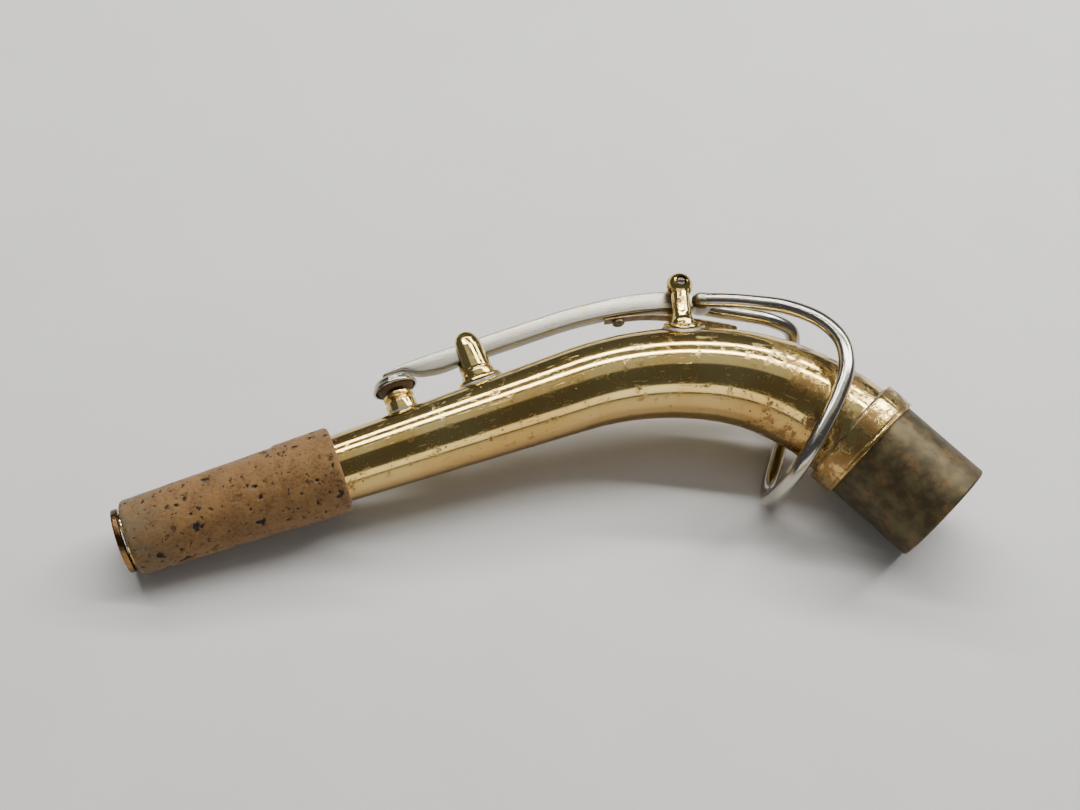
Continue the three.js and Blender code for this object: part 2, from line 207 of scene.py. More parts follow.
def rounded(points: Sequence[Pair], size: float, ends: bool = True) -> list[Pair]:
    """Rounds the corners of an outline.

    Args:
        points: the outline's corners.
        size: how far from a corner the rounding starts.
        ends: whether the outline is closed, so its first and last corners are rounded too.

    Returns:
        The outline with every corner replaced by a short arc.
    """
    made: list[Pair] = []
    count = len(points)
    for i, corner in enumerate(points):
        if not ends and i in (0, count - 1):
            made.append(corner)
            continue
        here = Vector(corner)
        before, after = Vector(points[i - 1]), Vector(points[(i + 1) % count])
        start = here + (before - here) * min(0.45, size / max((before - here).length, 1e-6))
        stop = here + (after - here) * min(0.45, size / max((after - here).length, 1e-6))
        for k in range(5):
            t = k / 4
            p = start * (1 - t) ** 2 + here * 2 * t * (1 - t) + stop * t**2
            made.append((p.x, p.y))
    return made


def curve_through(knots: Sequence[Pair], x: float) -> float:
    """The height of a smooth curve through the knots at x.

    Args:
        knots: pairs of place and height, in order.
        x: the place.

    Returns:
        The curve's height there.
    """
    xs, ys = [k[0] for k in knots], [k[1] for k in knots]
    slopes = np.gradient(ys, xs)
    i = min(max(int(np.searchsorted(xs, x)) - 1, 0), len(xs) - 2)
    width = xs[i + 1] - xs[i]
    t = min(max((x - xs[i]) / width, 0.0), 1.0)
    a, b = 2 * t**3 - 3 * t**2 + 1, t**3 - 2 * t**2 + t
    c, d = -2 * t**3 + 3 * t**2, t**3 - t**2
    return float(a * ys[i] + b * width * slopes[i] + c * ys[i + 1] + d * width * slopes[i + 1])


def piece_from(name: str, vertices: Sequence[Vector], faces: Sequence[Sequence[int]]) -> bpy.types.Object:
    """Makes an object from points in millimetres, with doubles merged and faces outward.

    Args:
        name: the piece's name.
        vertices: points in the frame, in millimetres.
        faces: vertex numbers of each face.

    Returns:
        The new object.
    """
    mesh = bpy.data.meshes.new(name)
    mesh.from_pydata([v * MM for v in vertices], [], faces)
    obj = put_in_scene(name, mesh)
    heal(obj)
    return obj


def put_in_scene(name: str, data: bpy.types.ID) -> bpy.types.Object:
    """Makes an object of a mesh, light or camera and links it to the scene."""
    obj = bpy.data.objects.new(name, data)
    bpy.context.scene.collection.objects.link(obj)
    return obj


def around(count: int) -> list[float]:
    """Evenly spaced angles, once round."""
    return [2 * math.pi * k / count for k in range(count)]


def heal(obj: bpy.types.Object) -> None:
    """Merges doubles, turns faces outward and shades them smooth up to sharp corners."""
    work = bmesh.new()
    work.from_mesh(obj.data)
    bmesh.ops.remove_doubles(work, verts=work.verts, dist=2e-6)
    bmesh.ops.dissolve_degenerate(work, edges=work.edges, dist=1e-7)
    bmesh.ops.recalc_face_normals(work, faces=work.faces)
    work.to_mesh(obj.data)
    work.free()
    obj.data.polygons.foreach_set("use_smooth", [True] * len(obj.data.polygons))
    obj.data.set_sharp_from_angle(angle=math.radians(38))


def grid(name: str, rows: Sequence[Sequence[Vector]], ring: bool, capped: bool) -> bpy.types.Object:
    """Makes a piece from rows of points, each row a closed section.

    Args:
        name: the piece's name.
        rows: the sections, all with the same number of points.
        ring: whether the last row joins the first.
        capped: whether the first and last rows are closed by a face.

    Returns:
        The new object.
    """
    width = len(rows[0])
    faces: list[Sequence[int]] = []
    for i in range(len(rows) if ring else len(rows) - 1):
        j = (i + 1) % len(rows)
        for k in range(width):
            m = (k + 1) % width
            faces.append((i * width + k, i * width + m, j * width + m, j * width + k))
    if capped:
        faces.append(tuple(range(width)))
        faces.append(tuple(reversed(range((len(rows) - 1) * width, len(rows) * width))))
    return piece_from(name, [p for row in rows for p in row], faces)


def turned(name: str, profile: Sequence[Pair], place: Matrix, facets: int = 72) -> bpy.types.Object:
    """Turns a closed profile about the Z axis of a place.

    Args:
        name: the piece's name.
        profile: pairs of radius and height, closed.
        place: the matrix of the place in the frame.
        facets: facets round the axis.

    Returns:
        The turned piece.
    """
    rows = []
    for r, z in profile:
        rows.append([place @ Vector((r * math.cos(a), r * math.sin(a), z)) for a in around(facets)])
    return grid(name, rows, ring=True, capped=False)


def section(place: Matrix, radius: float, facets: int) -> list[Vector]:
    """A round section across the neck at a place."""
    return [place @ Vector((0, radius * math.sin(a), radius * math.cos(a))) for a in around(facets)]


def turned_on_neck(
    name: str, outline: Sequence[Pair], facets: int = 144, step: float = 1.0
) -> bpy.types.Object:
    """Turns a closed outline of station and radius about the bent centre line.

    Args:
        name: the piece's name.
        outline: pairs of station and radius, closed.
        facets: facets round the line.
        step: longest stretch between two sections.

    Returns:
        The turned piece.
    """
    rows = []
    for (s0, r0), (s1, r1) in zip(outline, [*outline[1:], outline[0]]):
        cuts = max(1, math.ceil(abs(s1 - s0) / step))
        for i in range(cuts):
            t = i / cuts
            place, r = LINE.at(s0 + (s1 - s0) * t), r0 + (r1 - r0) * t
            rows.append(section(place, r, facets))
    return grid(name, rows, ring=True, capped=False)


def collar_on_tube(
    name: str, at: Pair, reach: Pair, profile: Sequence[Pair], facets: int = 72
) -> bpy.types.Object:
    """Makes a ring whose foot follows the tube's surface, such as a flange or a run of solder.

    Args:
        name: the piece's name.
        at: station and side of the ring's middle.
        reach: half lengths along and across the tube for a profile radius of 1.
        profile: closed pairs of radius and height over the tube's surface.
        facets: facets round the ring.

    Returns:
        The ring.
    """
    rows = []
    for rho, height in profile:
        row = []
        for a in around(facets):
            s = at[0] + rho * reach[0] * math.cos(a)
            y = at[1] + rho * reach[1] * math.sin(a)
            round_it = LINE.radius(s)
            tilt = math.asin(max(-1.0, min(1.0, y / (round_it + 0.6))))
            r = round_it + height
            row.append(LINE.on(s, r * math.sin(tilt), r * math.cos(tilt)))
        rows.append(row)
    return grid(name, rows, ring=True, capped=False)


def bar_on_neck(
    name: str, top: Sequence[Pair], bottom: Sequence[Pair], width: float, round_off: float, step: float = 0.6
) -> bpy.types.Object:
    """Makes a bar that lies along the neck between an upper and a lower curve.

    Args:
        name: the piece's name.
        top: pairs of station and height of its upper edge.
        bottom: the same for its lower edge.
        width: its width across.
        round_off: how much its long edges are rounded.
        step: length between sections.

    Returns:
        The bar.
    """
    start, stop = top[0][0], top[-1][0]
    count = max(2, math.ceil((stop - start) / step))
    rows = []
    for i in range(count + 1):
        s = start + (stop - start) * i / count
        high, low = curve_through(top, s), curve_through(bottom, s)
        inset = round_off * 0.8 if i in (0, count) else 0.0
        half = width / 2 - inset
        corners = [(-half, low + inset), (half, low + inset), (half, high - inset), (-half, high - inset)]
        rows.append([LINE.on(s, y, h) for y, h in rounded(corners, round_off)])
    return grid(name, rows, ring=False, capped=True)


def cut(obj: bpy.types.Object, tool: bpy.types.Object) -> None:
    """Cuts a piece with a tool, which is then thrown away.

    Args:
        obj: the piece.
        tool: the closed solid that cuts it.
    """
    combine(obj, tool, "DIFFERENCE")
    heal(obj)


def combine(obj: bpy.types.Object, other: bpy.types.Object, operation: str) -> None:
    """Joins or subtracts another piece, which is then thrown away.

    Args:
        obj: the piece that stays.
        other: the piece that is used up.
        operation: UNION or DIFFERENCE.
    """
    saw = obj.modifiers.new(operation.lower(), "BOOLEAN")
    saw.operation, saw.solver, saw.object = operation, "EXACT", other
    settle(obj)
    bpy.data.objects.remove(other)


def settle(obj: bpy.types.Object) -> None:
    """Makes what a piece's modifiers show its own mesh, and removes them."""
    shown = obj.evaluated_get(bpy.context.evaluated_depsgraph_get())
    mesh = bpy.data.meshes.new_from_object(shown)
    obj.modifiers.clear()
    obj.data = mesh


def block(size: Triple, place: Matrix) -> bpy.types.Object:
    """A cutting block of a size, centred on a place."""
    x, y, z = (v / 2 for v in size)
    rows = [
        [place @ Vector((px, py, pz)) for px, py in ((-x, -y), (x, -y), (x, y), (-x, y))]
        for pz in (-z, z)
    ]
    return grid("cutter", rows, ring=False, capped=True)


def rod(radius: float, low: float, high: float, place: Matrix) -> bpy.types.Object:
    """A cutting rod along the Z axis of a place."""
    return turned("cutter", [(0, low), (radius, low), (radius, high), (0, high)], place, 48)


def standing(s: float, side: float = 0.0, height: float = 0.0) -> Matrix:
    """The place at a station, moved to a side and up."""
    return LINE.at(s) @ Matrix.Translation((0, side, height))


def across(s: float, height: float) -> Matrix:
    """A place whose Z axis runs across the neck, at a station and height."""
    return standing(s, 0, height) @ Matrix.Rotation(-math.pi / 2, 4, "X")


# ---- node trees ----


class NodeBench:
    """Adds and joins nodes in one node tree."""

    def __init__(self, tree: bpy.types.NodeTree) -> None:
        """Takes the tree to work on."""
        self.tree = tree

    def add(self, kind: str, joins: dict | None = None, **settings: object) -> bpy.types.Node:
        """Adds one node.

        Args:
            kind: the node's type.
            joins: input name or number to a socket that feeds it or a fixed value.
            settings: the node's own properties.

        Returns:
            The node.
        """
        node = self.tree.nodes.new(kind)
        for key, value in settings.items():
            setattr(node, key, value)
        for key, value in (joins or {}).items():
            self.feed(node.inputs[key], value)
        return node

    def feed(self, socket: bpy.types.NodeSocket, value: object) -> None:
        """Joins a socket to another one, or sets it to a fixed value."""
        if isinstance(value, bpy.types.NodeSocket):
            self.tree.links.new(value, socket)
        else:
            socket.default_value = value

    def warped(self, vector: bpy.types.NodeSocket, amount: float, scale: float) -> bpy.types.NodeSocket:
        """Coordinates pushed about by noise, so that patterns on them turn irregular.

        Args:
            vector: the coordinates.
            amount: how far they are pushed.
            scale: how finely.

        Returns:
            The pushed coordinates.
        """
        joins = {"Vector": vector, "Scale": scale, "Detail": 3.0}
        push = self.add("ShaderNodeTexNoise", joins).outputs["Color"]
        far = self.add("ShaderNodeVectorMath", {0: push, "Scale": amount}, operation="SCALE").outputs[0]
        return self.add("ShaderNodeVectorMath", {0: vector, 1: far}, operation="ADD").outputs[0]

    def spots(
        self, vector: bpy.types.NodeSocket, scale: float, size: float, share: float
    ) -> bpy.types.NodeSocket:
        """Scattered spots, of which only a share is kept.

        Args:
            vector: the coordinates.
            scale: spots for each unit of them.
            size: radius of a spot, as a part of their spacing.
            share: how many of the spots are kept, from 0 to 1.

        Returns:
            1 in a spot, 0 outside.
        """
        cell = self.add("ShaderNodeTexVoronoi", {"Vector": vector, "Scale": scale})
        luck = self.add("ShaderNodeSeparateXYZ", {0: cell.outputs["Color"]}).outputs[0]
        kept = self.band(luck, share, share * 0.6)
        return self.calc("MULTIPLY", self.band(cell.outputs["Distance"], size * 1.15, size * 0.8), kept)

    def band(self, value: bpy.types.NodeSocket, low: float, high: float) -> bpy.types.NodeSocket:
        """0 where the value is at low, 1 where it is at high, clamped and smooth between."""
        joins = {"Value": value, "From Min": low, "From Max": high}
        return self.add("ShaderNodeMapRange", joins, interpolation_type="SMOOTHSTEP").outputs[0]

    def calc(self, kind: str, *values: object) -> bpy.types.NodeSocket:
        """One sum of two or three values."""
        return self.add("ShaderNodeMath", dict(enumerate(values)), operation=kind).outputs[0]

    def pores(self, vector: bpy.types.NodeSocket) -> bpy.types.NodeSocket:
        """The open pores of sheet cork: a few large, many small, all irregular."""
        uneven = self.warped(vector, 2.6, 0.8)
        large = self.spots(uneven, 0.25, 0.22, 0.60)
        middle = self.spots(uneven, 0.50, 0.22, 0.62)
        small = self.spots(uneven, 1.2, 0.22, 0.42)
        return self.calc("MAXIMUM", large, self.calc("MAXIMUM", middle, small))


class Recipe(NodeBench):
    """A material in the making, on the neck's own coordinates in millimetres."""

    def __init__(self, name: str) -> None:
        """Starts a material of that name."""
        self.material = bpy.data.materials.new(name)
        self.material.use_nodes = True
        super().__init__(self.material.node_tree)
        self.shader = self.tree.nodes["Principled BSDF"]
        self.neck = self.add("ShaderNodeAttribute", attribute_name="along_neck").outputs["Vector"]
        parts = self.add("ShaderNodeSeparateXYZ", {0: self.neck}).outputs
        self.station, self.height = parts[0], parts[2]

    def stretched(self, scale: Triple, turn: Triple = (0, 0, 0)) -> bpy.types.NodeSocket:
        """The neck's coordinates, scaled along it, across it and in height."""
        node = self.add("ShaderNodeMapping", {"Vector": self.neck, "Scale": scale, "Rotation": turn})
        return node.outputs[0]

    def noise(
        self, scale: float, detail: float = 4, rough: float = 0.55, vector: bpy.types.NodeSocket | None = None
    ) -> bpy.types.NodeSocket:
        """Cloudy noise, from 0 to 1.

        Args:
            scale: clouds per millimetre.
            detail: finer and finer layers.
            rough: how strong the finer layers are.
            vector: other coordinates than the neck's.

        Returns:
            The noise's value.
        """
        joins = {"Vector": vector or self.neck, "Scale": scale, "Detail": detail, "Roughness": rough}
        return self.add("ShaderNodeTexNoise", joins).outputs[0]

    def cells(self, scale: float, vector: bpy.types.NodeSocket | None = None) -> bpy.types.NodeSocket:
        """The distance to the nearest of scattered points, which makes spots."""
        joins = {"Vector": vector or self.neck, "Scale": scale}
        return self.add("ShaderNodeTexVoronoi", joins).outputs["Distance"]

    def colour(self, by: object, a: object, b: object) -> bpy.types.NodeSocket:
        """A colour between a, at 0, and b, at 1."""
        node = self.add("ShaderNodeMix", data_type="RGBA")
        self.feed(node.inputs[0], by)
        for number, value in ((6, a), (7, b)):
            self.feed(node.inputs[number], value if isinstance(value, bpy.types.NodeSocket) else (*value, 1))
        return node.outputs[2]

    def between(self, by: bpy.types.NodeSocket, a: float, b: float) -> bpy.types.NodeSocket:
        """A value between a, at 0, and b, at 1."""
        joins = {"Value": by, "To Min": a, "To Max": b}
        return self.add("ShaderNodeMapRange", joins).outputs[0]

    def bump(
        self, height: bpy.types.NodeSocket, depth: float, over: bpy.types.NodeSocket | None = None
    ) -> bpy.types.NodeSocket:
        """Bumps of a depth in millimetres, over other bumps.

        Args:
            height: the pattern, from 0 to 1.
            depth: how deep it is.
            over: the normal of the bumps below it.

        Returns:
            The bumped normal.
        """
        joins = {"Height": height, "Distance": depth * MM, "Strength": 1.0}
        if over is not None:
            joins["Normal"] = over
        return self.add("ShaderNodeBump", joins).outputs[0]

    def finish(self, **inputs: object) -> bpy.types.Material:
        """Feeds the shader and gives the finished material.

        Args:
            inputs: the shader's inputs, underscores for spaces, as sockets or fixed values.

        Returns:
            The material.
        """
        for key, value in inputs.items():
            self.feed(self.shader.inputs[key.replace("_", " ")], value)
        return self.material


# ---- finishes ----


@dataclass(frozen=True)
class WornBrass:
    """Old lacquered brass: gold where it is whole, brown where it has gone.

    Attributes:
        name: the material's name.
        gold: colour of the whole lacquer.
        amber: colour where the lacquer is thicker.
        brown: colour of tarnish.
        underside_reflection: orange-brown painted on the underside, a painted reflection of the shaded floor
            under the neck.
        wear: how much is tarnished, from 0 to 1.
    """

    name: str
    gold: Triple = (0.74, 0.58, 0.22)
    amber: Triple = (0.64, 0.43, 0.13)
    brown: Triple = (0.10, 0.048, 0.018)
    underside_reflection: Triple = (0.40, 0.215, 0.065)
    wear: float = 0.3

    def make(self) -> bpy.types.Material:
        """Makes the material."""
        r = Recipe(self.name)
        clouds = r.noise(0.07, 3)
        base = r.colour(r.band(clouds, 0.35, 0.7), self.gold, self.amber)
        streaks = r.noise(1.0, 5, 0.6, r.stretched((0.02, 0.5, 0.5)))
        base = r.colour(r.band(streaks, 0.5, 0.85), base, self.amber)
        patches = r.noise(0.28, 9, 0.72)
        near_loop = r.band(r.station, 128.0, 152.0)
        edge = r.calc("MULTIPLY_ADD", near_loop, 0.09, self.wear * 0.12 - 0.12)
        patch = r.band(r.calc("ADD", patches, edge), 0.49, 0.57)
        gathered = r.band(r.noise(0.13, 4), 0.40, 0.60)
        uneven = r.warped(r.neck, 0.8, 1.2)
        spots = r.calc("MULTIPLY", r.spots(uneven, 0.7, 0.17, 0.45), gathered)
        pits = r.calc("MULTIPLY", r.spots(uneven, 2.0, 0.20, 0.50), gathered)
        spotted = r.calc("MAXIMUM", spots, pits)
        scratches = r.band(r.noise(1.0, 2, 0.4, r.stretched((0.05, 4.0, 4.0), (0, 0.12, 0.2))), 0.70, 0.76)
        dull = r.calc("MAXIMUM", r.calc("MULTIPLY", patch, 0.85), r.calc("MULTIPLY", spotted, 0.8))
        shade = r.colour(dull, base, self.brown)
        shade = r.colour(r.calc("MULTIPLY", scratches, 0.35), shade, self.brown)
        # Painted reflection: the lower side of the tube, found by height alone, is tinted orange-brown to
        # stand in for the shaded floor it reflects.
        girth = r.calc("MULTIPLY_ADD", r.station, 0.0327, 6.0)
        under = r.band(r.calc("DIVIDE", r.height, girth), -0.62, -0.93)
        shade = r.colour(r.calc("MULTIPLY", under, 0.6), shade, self.underside_reflection)
        haze = r.between(r.noise(0.5, 6), 0.06, 0.17)
        rough = r.calc("MAXIMUM", haze, r.calc("MULTIPLY", dull, 0.5))
        dents = r.bump(r.noise(0.12, 1), 0.03)
        marks = r.bump(r.calc("ADD", dull, scratches), -0.012, dents)
        return r.finish(
            Base_Color=shade,
            Metallic=r.between(dull, 1.0, 0.9),
            Roughness=rough,
            Normal=marks,
            Coat_Weight=0.1,
            Coat_Roughness=0.08,
        )


@dataclass(frozen=True)
class BareTenon:
    """Brass that has lost its lacquer and gone dull brown, with lighter rubbed mottling."""

    name: str = "tarnished tenon brass"
    dark: Triple = (0.050, 0.037, 0.016)
    olive: Triple = (0.100, 0.079, 0.036)
    rubbed: Triple = (0.185, 0.095, 0.034)

    def make(self) -> bpy.types.Material:
        """Makes the material."""
        r = Recipe(self.name)
        base = r.colour(r.band(r.noise(0.35, 6), 0.35, 0.7), self.dark, self.olive)
        mottle = r.band(r.noise(0.26, 8, 0.66), 0.52, 0.70)
        rim = r.calc("MAXIMUM", r.band(r.station, 189.5, 190.9), r.band(r.station, 171.8, 171.0))
        worn = r.calc("MULTIPLY", mottle, r.between(rim, 0.55, 1.0))
        shade = r.colour(worn, base, self.rubbed)
        rings = r.noise(1.0, 3, 0.5, r.stretched((5.0, 0.06, 0.06)))
        normal = r.bump(r.noise(3.0, 6), 0.02, r.bump(rings, 0.015))
        rough = r.between(r.noise(1.4, 5), 0.38, 0.62)
        return r.finish(Base_Color=shade, Metallic=0.65, Roughness=rough, Normal=normal)


@dataclass(frozen=True)
class WornNickel:
    """Nickel plate, bright, with warm places where it is rubbed through and dark specks."""

    name: str
    plate: Triple = (0.43, 0.405, 0.355)
    warm: Triple = (0.42, 0.32, 0.175)
    grime: Triple = (0.07, 0.055, 0.038)
    shine: float = 0.17

    def make(self) -> bpy.types.Material:
        """Makes the material."""
        r = Recipe(self.name)
        through = r.band(r.noise(0.45, 8, 0.7), 0.52, 0.64)
        base = r.colour(r.calc("MULTIPLY", through, 0.85), self.plate, self.warm)
        specks = r.spots(r.warped(r.neck, 0.6, 1.5), 1.6, 0.16, 0.4)
        held = r.calc("MULTIPLY", specks, r.band(r.noise(0.3, 3), 0.45, 0.62))
        shade = r.colour(r.calc("MULTIPLY", held, 0.75), base, self.grime)
        streaks = r.noise(1.0, 4, 0.6, r.stretched((0.10, 3.0, 3.0)))
        haze = r.between(streaks, self.shine - 0.06, self.shine + 0.12)
        rough = r.calc("ADD", haze, r.calc("MULTIPLY", held, 0.3))
        normal = r.bump(held, -0.02, r.bump(streaks, 0.004, r.bump(r.noise(0.25, 1), 0.03)))
        return r.finish(Base_Color=shade, Metallic=1.0, Roughness=rough, Normal=normal)


@dataclass(frozen=True)
class CorkBark:
    """Sheet cork, sanded and greased, with dark grain pores."""

    name: str = "sanded cork"
    tan: Triple = (0.200, 0.098, 0.024)
    deep: Triple = (0.125, 0.052, 0.010)
    pale: Triple = (0.225, 0.132, 0.046)
    pore: Triple = (0.018, 0.010, 0.005)
    grease: Triple = (0.120, 0.098, 0.055)

    def make(self) -> bpy.types.Material:
        """Makes the material."""
        r = Recipe(self.name)
        grain = r.cells(1.5, r.stretched((0.8, 1, 1)))
        base = r.colour(r.band(r.noise(0.3, 5), 0.35, 0.66), self.tan, self.deep)
        base = r.colour(r.calc("MULTIPLY", r.band(grain, 0.25, 0.6), 0.45), base, self.pale)
        greasy = r.calc("MULTIPLY", r.band(r.station, 15.0, 3.0), r.band(r.noise(0.35, 5), 0.30, 0.62))
        base = r.colour(r.calc("MULTIPLY", greasy, 0.7), base, self.grease)
        fine = r.band(r.noise(2.3, 9, 0.72), 0.60, 0.70)
        dark = r.calc("MAXIMUM", r.pores(r.neck), r.calc("MULTIPLY", fine, 0.45))
        shade = r.colour(dark, base, self.pore)
        rough = r.between(r.noise(1.0, 4), 0.62, 0.9)
        crumbs = r.bump(r.noise(5.5, 6, 0.7), 0.05)
        normal = r.bump(dark, -0.16, r.bump(grain, 0.05, crumbs))
        return r.finish(
            Base_Color=shade, Roughness=rough, Normal=normal, Sheen_Weight=0.15, Specular_IOR_Level=0.35
        )


@dataclass(frozen=True)
class DarkMetal:
    """Plain darkened metal, such as spring bronze, blued screws and old solder.

    Attributes:
        name: the material's name.
        low: darker colour.
        high: lighter colour.
        metal: how metallic it is.
        rough: middle roughness.
    """

    name: str
    low: Triple
    high: Triple
    metal: float = 0.9
    rough: float = 0.38

    def make(self) -> bpy.types.Material:
        """Makes the material."""
        r = Recipe(self.name)
        shade = r.colour(r.band(r.noise(0.9, 8, 0.7), 0.36, 0.66), self.low, self.high)
        brushed = r.noise(1.0, 4, 0.6, r.stretched((0.4, 6.0, 6.0)))
        rough = r.between(brushed, self.rough - 0.1, self.rough + 0.16)
        normal = r.bump(r.noise(2.2, 6), 0.02, r.bump(brushed, 0.01))
        return r.finish(Base_Color=shade, Metallic=self.metal, Roughness=rough, Normal=normal)


@dataclass(frozen=True)
class SoftPad:
    """Leather, felt or card: a fibrous or pebbled soft surface.

    Attributes:
        name: the material's name.
        low: darker colour.
        high: lighter colour.
        grain: grains per millimetre.
        depth: depth of the grain.
        sheen: soft sheen.
    """

    name: str
    low: Triple
    high: Triple
    grain: float = 3.0
    depth: float = 0.05
    sheen: float = 0.2

    def make(self) -> bpy.types.Material:
        """Makes the material."""
        r = Recipe(self.name)
        pebbles = r.cells(self.grain)
        mixed = r.calc("ADD", r.calc("MULTIPLY", pebbles, 0.5), r.calc("MULTIPLY", r.noise(0.8, 6), 0.6))
        shade = r.colour(r.band(mixed, 0.3, 0.75), self.low, self.high)
        rough = r.between(r.noise(1.5, 4), 0.6, 0.88)
        normal = r.bump(pebbles, self.depth, r.bump(r.noise(self.grain * 3, 5), self.depth / 3))
        return r.finish(Base_Color=shade, Roughness=rough, Normal=normal, Sheen_Weight=self.sheen)


class Finishes:
    """All finishes of the neck, made once."""

    def __init__(self) -> None:
        """Makes every finish."""
        self.tube = WornBrass("worn lacquered brass").make()
        self.fitting = WornBrass("worn brass of fittings", wear=0.55).make()
        self.collar = WornBrass("worn brass of collar", amber=(0.58, 0.37, 0.11), wear=0.7).make()
        brown = {"gold": (0.20, 0.125, 0.05), "amber": (0.15, 0.085, 0.032)}
        self.tip = WornBrass("browned brass of tip", **brown, wear=1.0).make()
        self.tenon = BareTenon().make()
        self.nickel = WornNickel("worn nickel plate").make()
        # The arm's nickel is partly rubbed wear and partly painted shade: a darker copy of the plate that
        # stands in for the dimmer reflection of the arm's flat face.
        worn = {"plate": (0.31, 0.292, 0.25), "warm": (0.31, 0.245, 0.135)}
        self.arm = WornNickel("rubbed and dimmed nickel of arm", **worn, shine=0.26).make()
        self.cup = WornNickel("worn nickel of pad cup", shine=0.13).make()
        self.cork = CorkBark().make()
        self.bronze = DarkMetal("spring bronze", (0.10, 0.07, 0.035), (0.26, 0.18, 0.09)).make()
        self.steel = DarkMetal("blued screw steel", (0.07, 0.06, 0.05), (0.20, 0.165, 0.12)).make()
        self.solder = DarkMetal("old solder", (0.13, 0.115, 0.095), (0.36, 0.345, 0.31), 0.8, 0.46).make()
        crust = {"low": (0.045, 0.020, 0.010), "high": (0.16, 0.065, 0.028)}
        self.rust = DarkMetal("brown tarnish crust", **crust, metal=0.2, rough=0.7).make()
        self.leather = SoftPad("brown pad leather", (0.045, 0.026, 0.015), (0.125, 0.072, 0.040)).make()
        self.felt = SoftPad("pressed pad felt", (0.52, 0.48, 0.40), (0.72, 0.68, 0.58), 5.0, 0.08, 0.6).make()
        self.card = SoftPad("pad card", (0.42, 0.34, 0.24), (0.56, 0.47, 0.34), 6.0, 0.02, 0.05).make()


def measure(obj: bpy.types.Object) -> None:
    """Gives every point of a piece its place on the neck, which the finishes read."""
    points = np.zeros(len(obj.data.vertices) * 3)
    obj.data.vertices.foreach_get("co", points)
    own = LINE.unbend(points.reshape(-1, 3)).astype(np.float32)
    layers = obj.data.attributes
    layer = layers.get("along_neck") or layers.new("along_neck", "FLOAT_VECTOR", "POINT")
    layer.data.foreach_set("vector", own.ravel())


def dress(
    obj: bpy.types.Object, material: bpy.types.Material, body: Body, slot: Slot, *nodes: str
) -> bpy.types.Object:
    """Gives a finished piece its coordinates, finish and body.

    Args:
        obj: the piece, at the origin with its place in its mesh.
        material: its finish.
        body: the body it rides on.
        slot: the record's slot for its finish; not used.
        nodes: the CAD nodes that it stands for.

    Returns:
        The same piece.
    """
    measure(obj)
    obj.data.materials.clear()
    obj.data.materials.append(material)
    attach(obj, body.value)
    if nodes:
        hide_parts(*nodes)
    LOG.info("%s on %s: %d faces", obj.name, body.value, len(obj.data.polygons))
    return obj


# ---- geometry node tools ----


class GeometryTool(NodeBench):
    """A geometry node tree with named inputs that is run on one piece."""

    def __init__(self, name: str, inputs: dict[str, float]) -> None:
        """Starts a tree.

        Args:
            name: the tree's name.
            inputs: name and starting value of each number that it takes.
        """
        super().__init__(bpy.data.node_groups.new(name, "GeometryNodeTree"))
        face = self.tree.interface
        face.new_socket("Geometry", in_out="INPUT", socket_type="NodeSocketGeometry")
        face.new_socket("Geometry", in_out="OUTPUT", socket_type="NodeSocketGeometry")
        self.ids = {}
        for key, value in inputs.items():
            socket = face.new_socket(key, in_out="INPUT", socket_type="NodeSocketFloat")
            socket.default_value = value
            self.ids[key] = socket.identifier
        self.start = self.add("NodeGroupInput")

    def value(self, name: str) -> bpy.types.NodeSocket:
        """The socket of one of the tree's inputs."""
        return self.start.outputs[name]

    def close(self, geometry: bpy.types.NodeSocket, material: bpy.types.Material) -> None:
        """Ends the tree: instances made real, finish set.

        Args:
            geometry: what the tree has made.
            material: the finish.
        """
        real = self.add("GeometryNodeRealizeInstances", {0: geometry}).outputs[0]
        done = self.add("GeometryNodeSetMaterial", {"Geometry": real, "Material": material}).outputs[0]
        self.add("NodeGroupOutput", {0: done})

    def run(self, obj: bpy.types.Object, **values: float) -> bpy.types.Object:
        """Runs the tree on a piece and keeps the result as its mesh.

        Args:
            obj: the piece.
            values: the tree's inputs, underscores for spaces.

        Returns:
            The same piece.
        """
        tool = obj.modifiers.new(self.tree.name, "NODES")
        tool.node_group = self.tree
        for key, value in values.items():
            tool[self.ids[key.replace("_", " ")]] = float(value)
        settle(obj)
        heal(obj)
        return obj


def rod_bender(material: bpy.types.Material) -> GeometryTool:
    """A tree that bends a round rod along a wire.

    Args:
        material: the rod's finish.

    Returns:
        The tool.
    """
    tool = GeometryTool("bent round rod", {"Rod Radius": 0.0017, "Facets": 28.0})
    wire = tool.add("GeometryNodeMeshToCurve", {0: tool.start.outputs[0]}).outputs[0]
    joins = {"Radius": tool.value("Rod Radius"), "Resolution": tool.value("Facets")}
    section = tool.add("GeometryNodeCurvePrimitiveCircle", joins).outputs[0]
    joins = {"Curve": wire, "Profile Curve": section, "Fill Caps": True}
    tool.close(tool.add("GeometryNodeCurveToMesh", joins).outputs[0], material)
    return tool


def cork_sander(material: bpy.types.Material) -> GeometryTool:
    """A tree that roughens cork and opens its pores.

    Args:
        material: the cork's finish.

    Returns:
        The tool.
    """
    tool = GeometryTool("sanded cork skin", {"Roughness Depth": 0.00012, "Pore Depth": 0.00035})
    place = tool.add("GeometryNodeInputPosition").outputs[0]
    joins = {"Vector": place, "Scale": 420.0, "Detail": 5.0}
    rough = tool.add("ShaderNodeTexNoise", joins).outputs[0]
    lumps = tool.calc("MULTIPLY", tool.calc("SUBTRACT", rough, 0.5), tool.value("Roughness Depth"))
    own = tool.add("GeometryNodeInputNamedAttribute", {"Name": "along_neck"}, data_type="FLOAT_VECTOR")
    sink = tool.calc("MULTIPLY", tool.pores(own.outputs[0]), tool.value("Pore Depth"))
    height = tool.calc("SUBTRACT", lumps, sink)
    joins = {0: tool.add("GeometryNodeInputNormal").outputs[0], "Scale": height}
    offset = tool.add("ShaderNodeVectorMath", joins, operation="SCALE").outputs[0]
    joins = {"Geometry": tool.start.outputs[0], "Offset": offset}
    tool.close(tool.add("GeometryNodeSetPosition", joins).outputs[0], material)
    return tool


